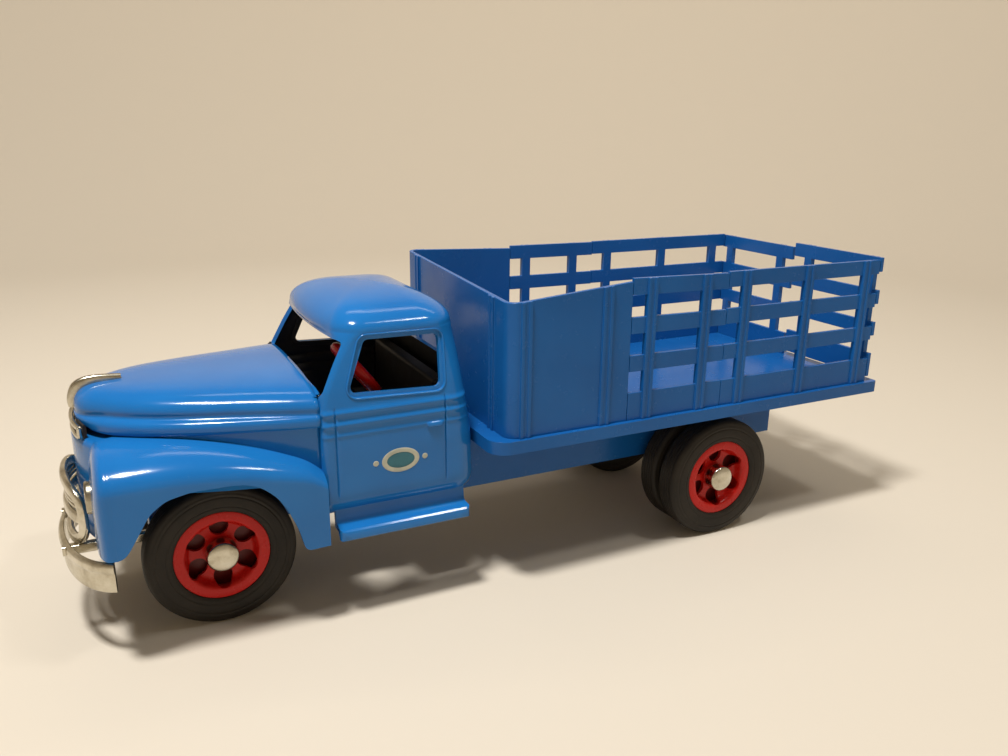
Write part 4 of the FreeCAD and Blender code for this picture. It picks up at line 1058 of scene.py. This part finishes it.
def ornamentParts():
    line = np.array(ornament["top"])
    length = lengthAlong(line)
    x, z = (smoothThrough(length, line[:, k], np.linspace(0, length[-1], 60)) for k in (0, 1))
    path = np.stack([x + place["bed"], np.zeros(60), z], 1)
    across = np.array([0, 1.0, 0])
    up = unit(np.cross(tangents(path), across))
    return [sweep(path, across, up * np.sign(up[:1, 2]), ornament["section"])]


# Slot trim between hood and nose panel: bright lip above and below a recess painted near black as shade

slot = {"front": -172.6, "depth": 8.2, "half": 26.0, "cut": 19.0, "low": 84.6, "high": 90.2, "lip": 0.9, "thick": 1.8,
        "deep": 3.0, "recessThick": 1.4}


def slotParts():
    y = np.linspace(-slot["cut"], slot["cut"], 61)
    low, high = slot["low"] + slot["lip"], slot["high"] - slot["lip"]
    lip = ovalBar(slot["lip"] * 2, slot["thick"])
    bright = []
    for z in (low, high):
        path, outward = bandPath(slot, y, z)
        path = path - outward * slot["thick"] / 2
        bright.append(sweep(path, upwards, outward, lip))
    for end in (0, -1):
        post = together(path[end, 0], path[end, 1], np.linspace(low, high, 9))
        bright.append(sweep(post, np.cross(outward[end], upwards), outward[end], lip))
    path, outward = bandPath(slot, y, (slot["low"] + slot["high"]) / 2)
    recess = ovalBar(slot["high"] - slot["low"], slot["recessThick"])
    return bright, [sweep(path - outward * slot["deep"], upwards, outward, recess)]


ornamentPiece = makePiece("hoodBar", ornamentParts(), chrome, "truck", 35, outwards=True)
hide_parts("hood_ornament")
brightParts, darkParts = slotParts()
slotPiece = makePiece("slotTrim", brightParts, chrome, "truck", 40, outwards=True)
# The recess is a near-black sheet as painted shade behind the slot's lips
makePiece("slotRecess", darkParts, darkPlasticAndPaintedShade, "truck", 40, outwards=True)
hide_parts("nose_trim")


# Steering wheel with three spokes on its column

steering = {
    "centre": (-58.0, -22.0, 101.2), "radius": 12.6, "tube": 2.5, "tilt": 52.0, "column": 2.1, "length": 24.0,
    "spoke": 1.2, "spokes": (90, 210, 330), "spokeSink": 0.8, "spokeShort": 0.5, "hub": 3.4, "hubUp": 1.6, "hubDown": 3.0,
}


def rod(start, end, radius, cells=14):
    # Round rod with domed ends: its radius follows a full oval near both ends
    share = np.linspace(0, 1, 27)
    length = np.linalg.norm(end - start)
    side = unit(np.cross(unit(end - start), [0.13, 0.92, 0.37]))
    other = np.cross(unit(end - start), side)
    near = np.minimum(share, 1 - share) * length / radius
    size = radius * np.sqrt(np.clip(1 - np.maximum(0, 1 - near) ** 2, 0, 1))
    turn = circle(cells)[None, :, None]
    across = np.cos(turn) * side + np.sin(turn) * other
    return surface((start + share[:, None] * (end - start))[:, None] + size[:, None, None] * across, closed=True)


def steeringParts():
    g = steering
    centre = np.array(g["centre"]) + [place["bed"], 0, 0]
    a = np.radians(g["tilt"])
    rise, axis, right = np.array([-np.cos(a), 0, np.sin(a)]), np.array([np.sin(a), 0, np.cos(a)]), np.array([0, 1.0, 0])
    turn = circle(72)[:, None]
    outward = np.cos(turn) * right + np.sin(turn) * rise
    small = circle(14)
    section = g["tube"] * together(np.cos(small), np.sin(small))
    parts = [sweep(centre + g["radius"] * outward, outward, axis, section, closedPath=True)]
    for spoke in np.radians(g["spokes"]):
        way = np.cos(spoke) * right + np.sin(spoke) * rise
        parts.append(rod(centre - g["spokeSink"] * axis, centre + way * (g["radius"] - g["spokeShort"]), g["spoke"]))
    parts.append(rod(centre + g["hubUp"] * axis, centre - g["hubDown"] * axis, g["hub"], 24))
    parts.append(rod(centre, centre - g["length"] * axis, g["column"], 20))
    return parts


steeringPiece = makePiece("steeringWheel", steeringParts(), redPlastic, "truck", 50, outwards=True)
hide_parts("steering_wheel")
print("trim and steering wheel made")


# Bed, frame and racks: the solids' own shapes with rounded edges and the slight warps of the old mouldings

bedWork = {
    # node: edge radius
    "deck": 0.5, "headboard": 0.3, "chassis": 0.35, "seat": 1.6,
    **{side + "_" + end + "_gate": 0.28 for side in ("left", "right") for end in ("mid", "rear", "tail")},
    **{side + "_" + end + "_hanger": 0.4 for side in ("left", "right") for end in ("front", "rear")},
}
warps = {
    # node: lift of the top at its front and rear end
    "left_mid_gate": (2.1, 0.9), "left_rear_gate": (0.7, 0.4), "right_mid_gate": (0.6, 0.0), "right_rear_gate": (-0.4, -0.6),
}
# front wall of the bed: lift of its two wings at their front and rear end, heights of its top and foot
boardWarp = {"left": (-3.6, 1.9), "right": (3.0, 0.5), "half": 60.0, "top": 136.5, "foot": 72.6}


def warped(node, points):
    # Height grows by a share that is nothing at the foot and whole at the top
    share = np.clip((points[:, 2] - boardWarp["foot"]) / (boardWarp["top"] - boardWarp["foot"]), 0, 1)
    low, high = points[:, 0].min(), points[:, 0].max()
    along = (points[:, 0] - low) / max(high - low, 1e-6)
    lift = 0.0
    if node == "headboard":
        reach = np.clip(points[:, 1] / boardWarp["half"], -1, 1)
        left, right = (start + (end - start) * along for start, end in (boardWarp["left"], boardWarp["right"]))
        lift = np.where(reach < 0, -reach * left, reach * right)
    elif node in warps:
        lift = warps[node][0] + (warps[node][1] - warps[node][0]) * along
    return points + (lift * share)[:, None] * upwards


def softCopy(node, edge):
    mesh = bpy.data.meshes.new(node + "Soft")
    work = bmesh.new()
    work.from_mesh(nodes[node].data)
    bmesh.ops.remove_doubles(work, verts=work.verts, dist=mend["copyJoin"] * mm)
    bmesh.ops.dissolve_limit(work, angle_limit=np.radians(mend["copyFlat"]), verts=work.verts, edges=work.edges)
    work.to_mesh(mesh)
    work.free()
    if "custom_normal" in mesh.attributes:
        mesh.attributes.remove(mesh.attributes["custom_normal"])
    points = np.empty(len(mesh.vertices) * 3)
    mesh.vertices.foreach_get("co", points)
    mesh.vertices.foreach_set("co", (warped(node, points.reshape(-1, 3) / mm) * mm).ravel())
    mesh.shade_smooth()
    mesh.set_sharp_from_angle(angle=np.radians(mend["copySharp"]))
    piece = bpy.data.objects.new(node + "Soft", mesh)
    scene.collection.objects.link(piece)
    body = node.replace("_gate", "_rack") if node.endswith("gate") else "truck"
    # The seat gets the near-black matte finish, the same one that stands as painted shade inside the cab
    material, slotName = (darkPlasticAndPaintedShade, "dark_plastic") if node == "seat" else (rackPlastic, "blue_plastic")
    finishPiece(piece, material, body, 0, edge)
    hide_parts(node)


for node, edge in bedWork.items():
    softCopy(node, edge)
print("bed and racks made")


# Camera at the photograph's place, floor and light

view = {"azimuth": -26.635, "elevation": 16.765, "roll": -0.701, "focal": 30.474, "sensor": 36.0, "nearest": 0.01,
        "spot": (-180.865, -372.818, 206.308)}
floorSizes = {
    # metres: radii of the flat middle, radius and height of the bend, heights of the wall; then the finish
    "flat": (0.0, 0.3, 0.6), "bendFrom": 0.95, "bend": 0.6, "wall": (1.0, 1.6, 2.2), "steps": 128,
    "colour": (0.625, 0.565, 0.475, 1), "rough": 0.9, "gloss": 0.1,
}
lights = {
    # metres: place, target, size; then power and colour
    "keyLight": ((-0.36, -0.20, 1.28), (-0.05, 0, 0.06), (0.20, 0.14), 19, (1.0, 0.98, 0.95)),
    "sideLight": ((0.36, -0.42, 1.12), (0.0, 0, 0.06), (0.14, 0.10), 2.0, (1.0, 0.97, 0.92)),
    "backLight": ((0.4, 0.5, 1.3), (0.8, 1.4, 0.4), (1.2, 0.4), 7, (1.0, 0.93, 0.82)),
}
worldLight = {"Color": (1.0, 0.93, 0.83, 1), "Strength": 0.15}


def makeCamera():
    a, e, r = np.radians([view["azimuth"], view["elevation"], view["roll"]])
    ahead = -np.array([np.sin(a) * np.cos(e), -np.cos(a) * np.cos(e), np.sin(e)])
    right = unit(np.cross(ahead, upwards))
    down = np.cross(ahead, right)
    lens = bpy.data.cameras.new("photoCamera")
    lens.lens, lens.sensor_width, lens.clip_start = view["focal"], view["sensor"], view["nearest"]
    camera = bpy.data.objects.new("photoCamera", lens)
    rows = np.stack([right * np.cos(r) + down * np.sin(r), right * np.sin(r) - down * np.cos(r), -ahead], axis=1)
    matrix = Matrix([list(row) + [0.0] for row in rows.tolist()] + [[0, 0, 0, 1]])
    matrix.translation = Vector([c * mm for c in view["spot"]])
    camera.matrix_world = matrix
    scene.collection.objects.link(camera)
    scene.camera = camera


def makeFloor():
    # Pale cloth-like bowl: flat floor that bends up all round, so it looks alike from every side
    f = floorSizes
    material, tree, shader, layers = newMaterial("paleFloor")
    feed(tree, shader, {"Base Color": f["colour"], "Roughness": f["rough"], "Specular IOR Level": f["gloss"]})
    bend = quarter(16)
    radius = np.concatenate([f["flat"], f["bendFrom"] + f["bend"] * np.sin(bend), [f["bendFrom"] + f["bend"]] * 3])
    lift = np.concatenate([np.zeros(3), f["bend"] * (1 - np.cos(bend)), f["wall"]])
    turn = circle(f["steps"])
    rings = together(radius[:, None] * np.cos(turn), radius[:, None] * np.sin(turn), lift[:, None])
    points, faces = surface(rings, closed=True)
    mesh = bpy.data.meshes.new("floor")
    mesh.from_pydata(points.tolist(), [], faces.tolist())
    mesh.shade_smooth()
    mesh.materials.append(material)
    floor = bpy.data.objects.new("floor", mesh)
    scene.collection.objects.link(floor)


def makeLight():
    scene.world = bpy.data.worlds.new("studio")
    scene.world.use_nodes = True
    tree = scene.world.node_tree
    feed(tree, tree.nodes["Background"], worldLight)
    for name, (spot, target, size, power, colour) in lights.items():
        light = bpy.data.lights.new(name, "AREA")
        light.shape = "RECTANGLE"
        light.size, light.size_y = size
        light.energy = power
        light.color = colour
        holder = bpy.data.objects.new(name, light)
        holder.location = spot
        holder.rotation_euler = (Vector(target) - Vector(spot)).to_track_quat("-Z", "Y").to_euler()
        scene.collection.objects.link(holder)


makeCamera()
makeFloor()
makeLight()
scene.view_settings.view_transform = "Standard"

# Carried-over nodes get the finish of their piece, by the last word of their name; all others are bright
finishes = {
    **dict.fromkeys(("deck", "headboard", "chassis", "gate", "hanger"), rackPlastic),
    **dict.fromkeys(("shell", "hood", "end"), bluePlastic), **dict.fromkeys(("hub", "wheel"), redPlastic),
    "tyre": rubber, "axle": steel, "seat": darkPlasticAndPaintedShade,
}
for name, node in nodes.items():
    node.data.materials.clear()
    node.data.materials.append(finishes.get(name.split("_")[-1], chrome))
print("finishes given")
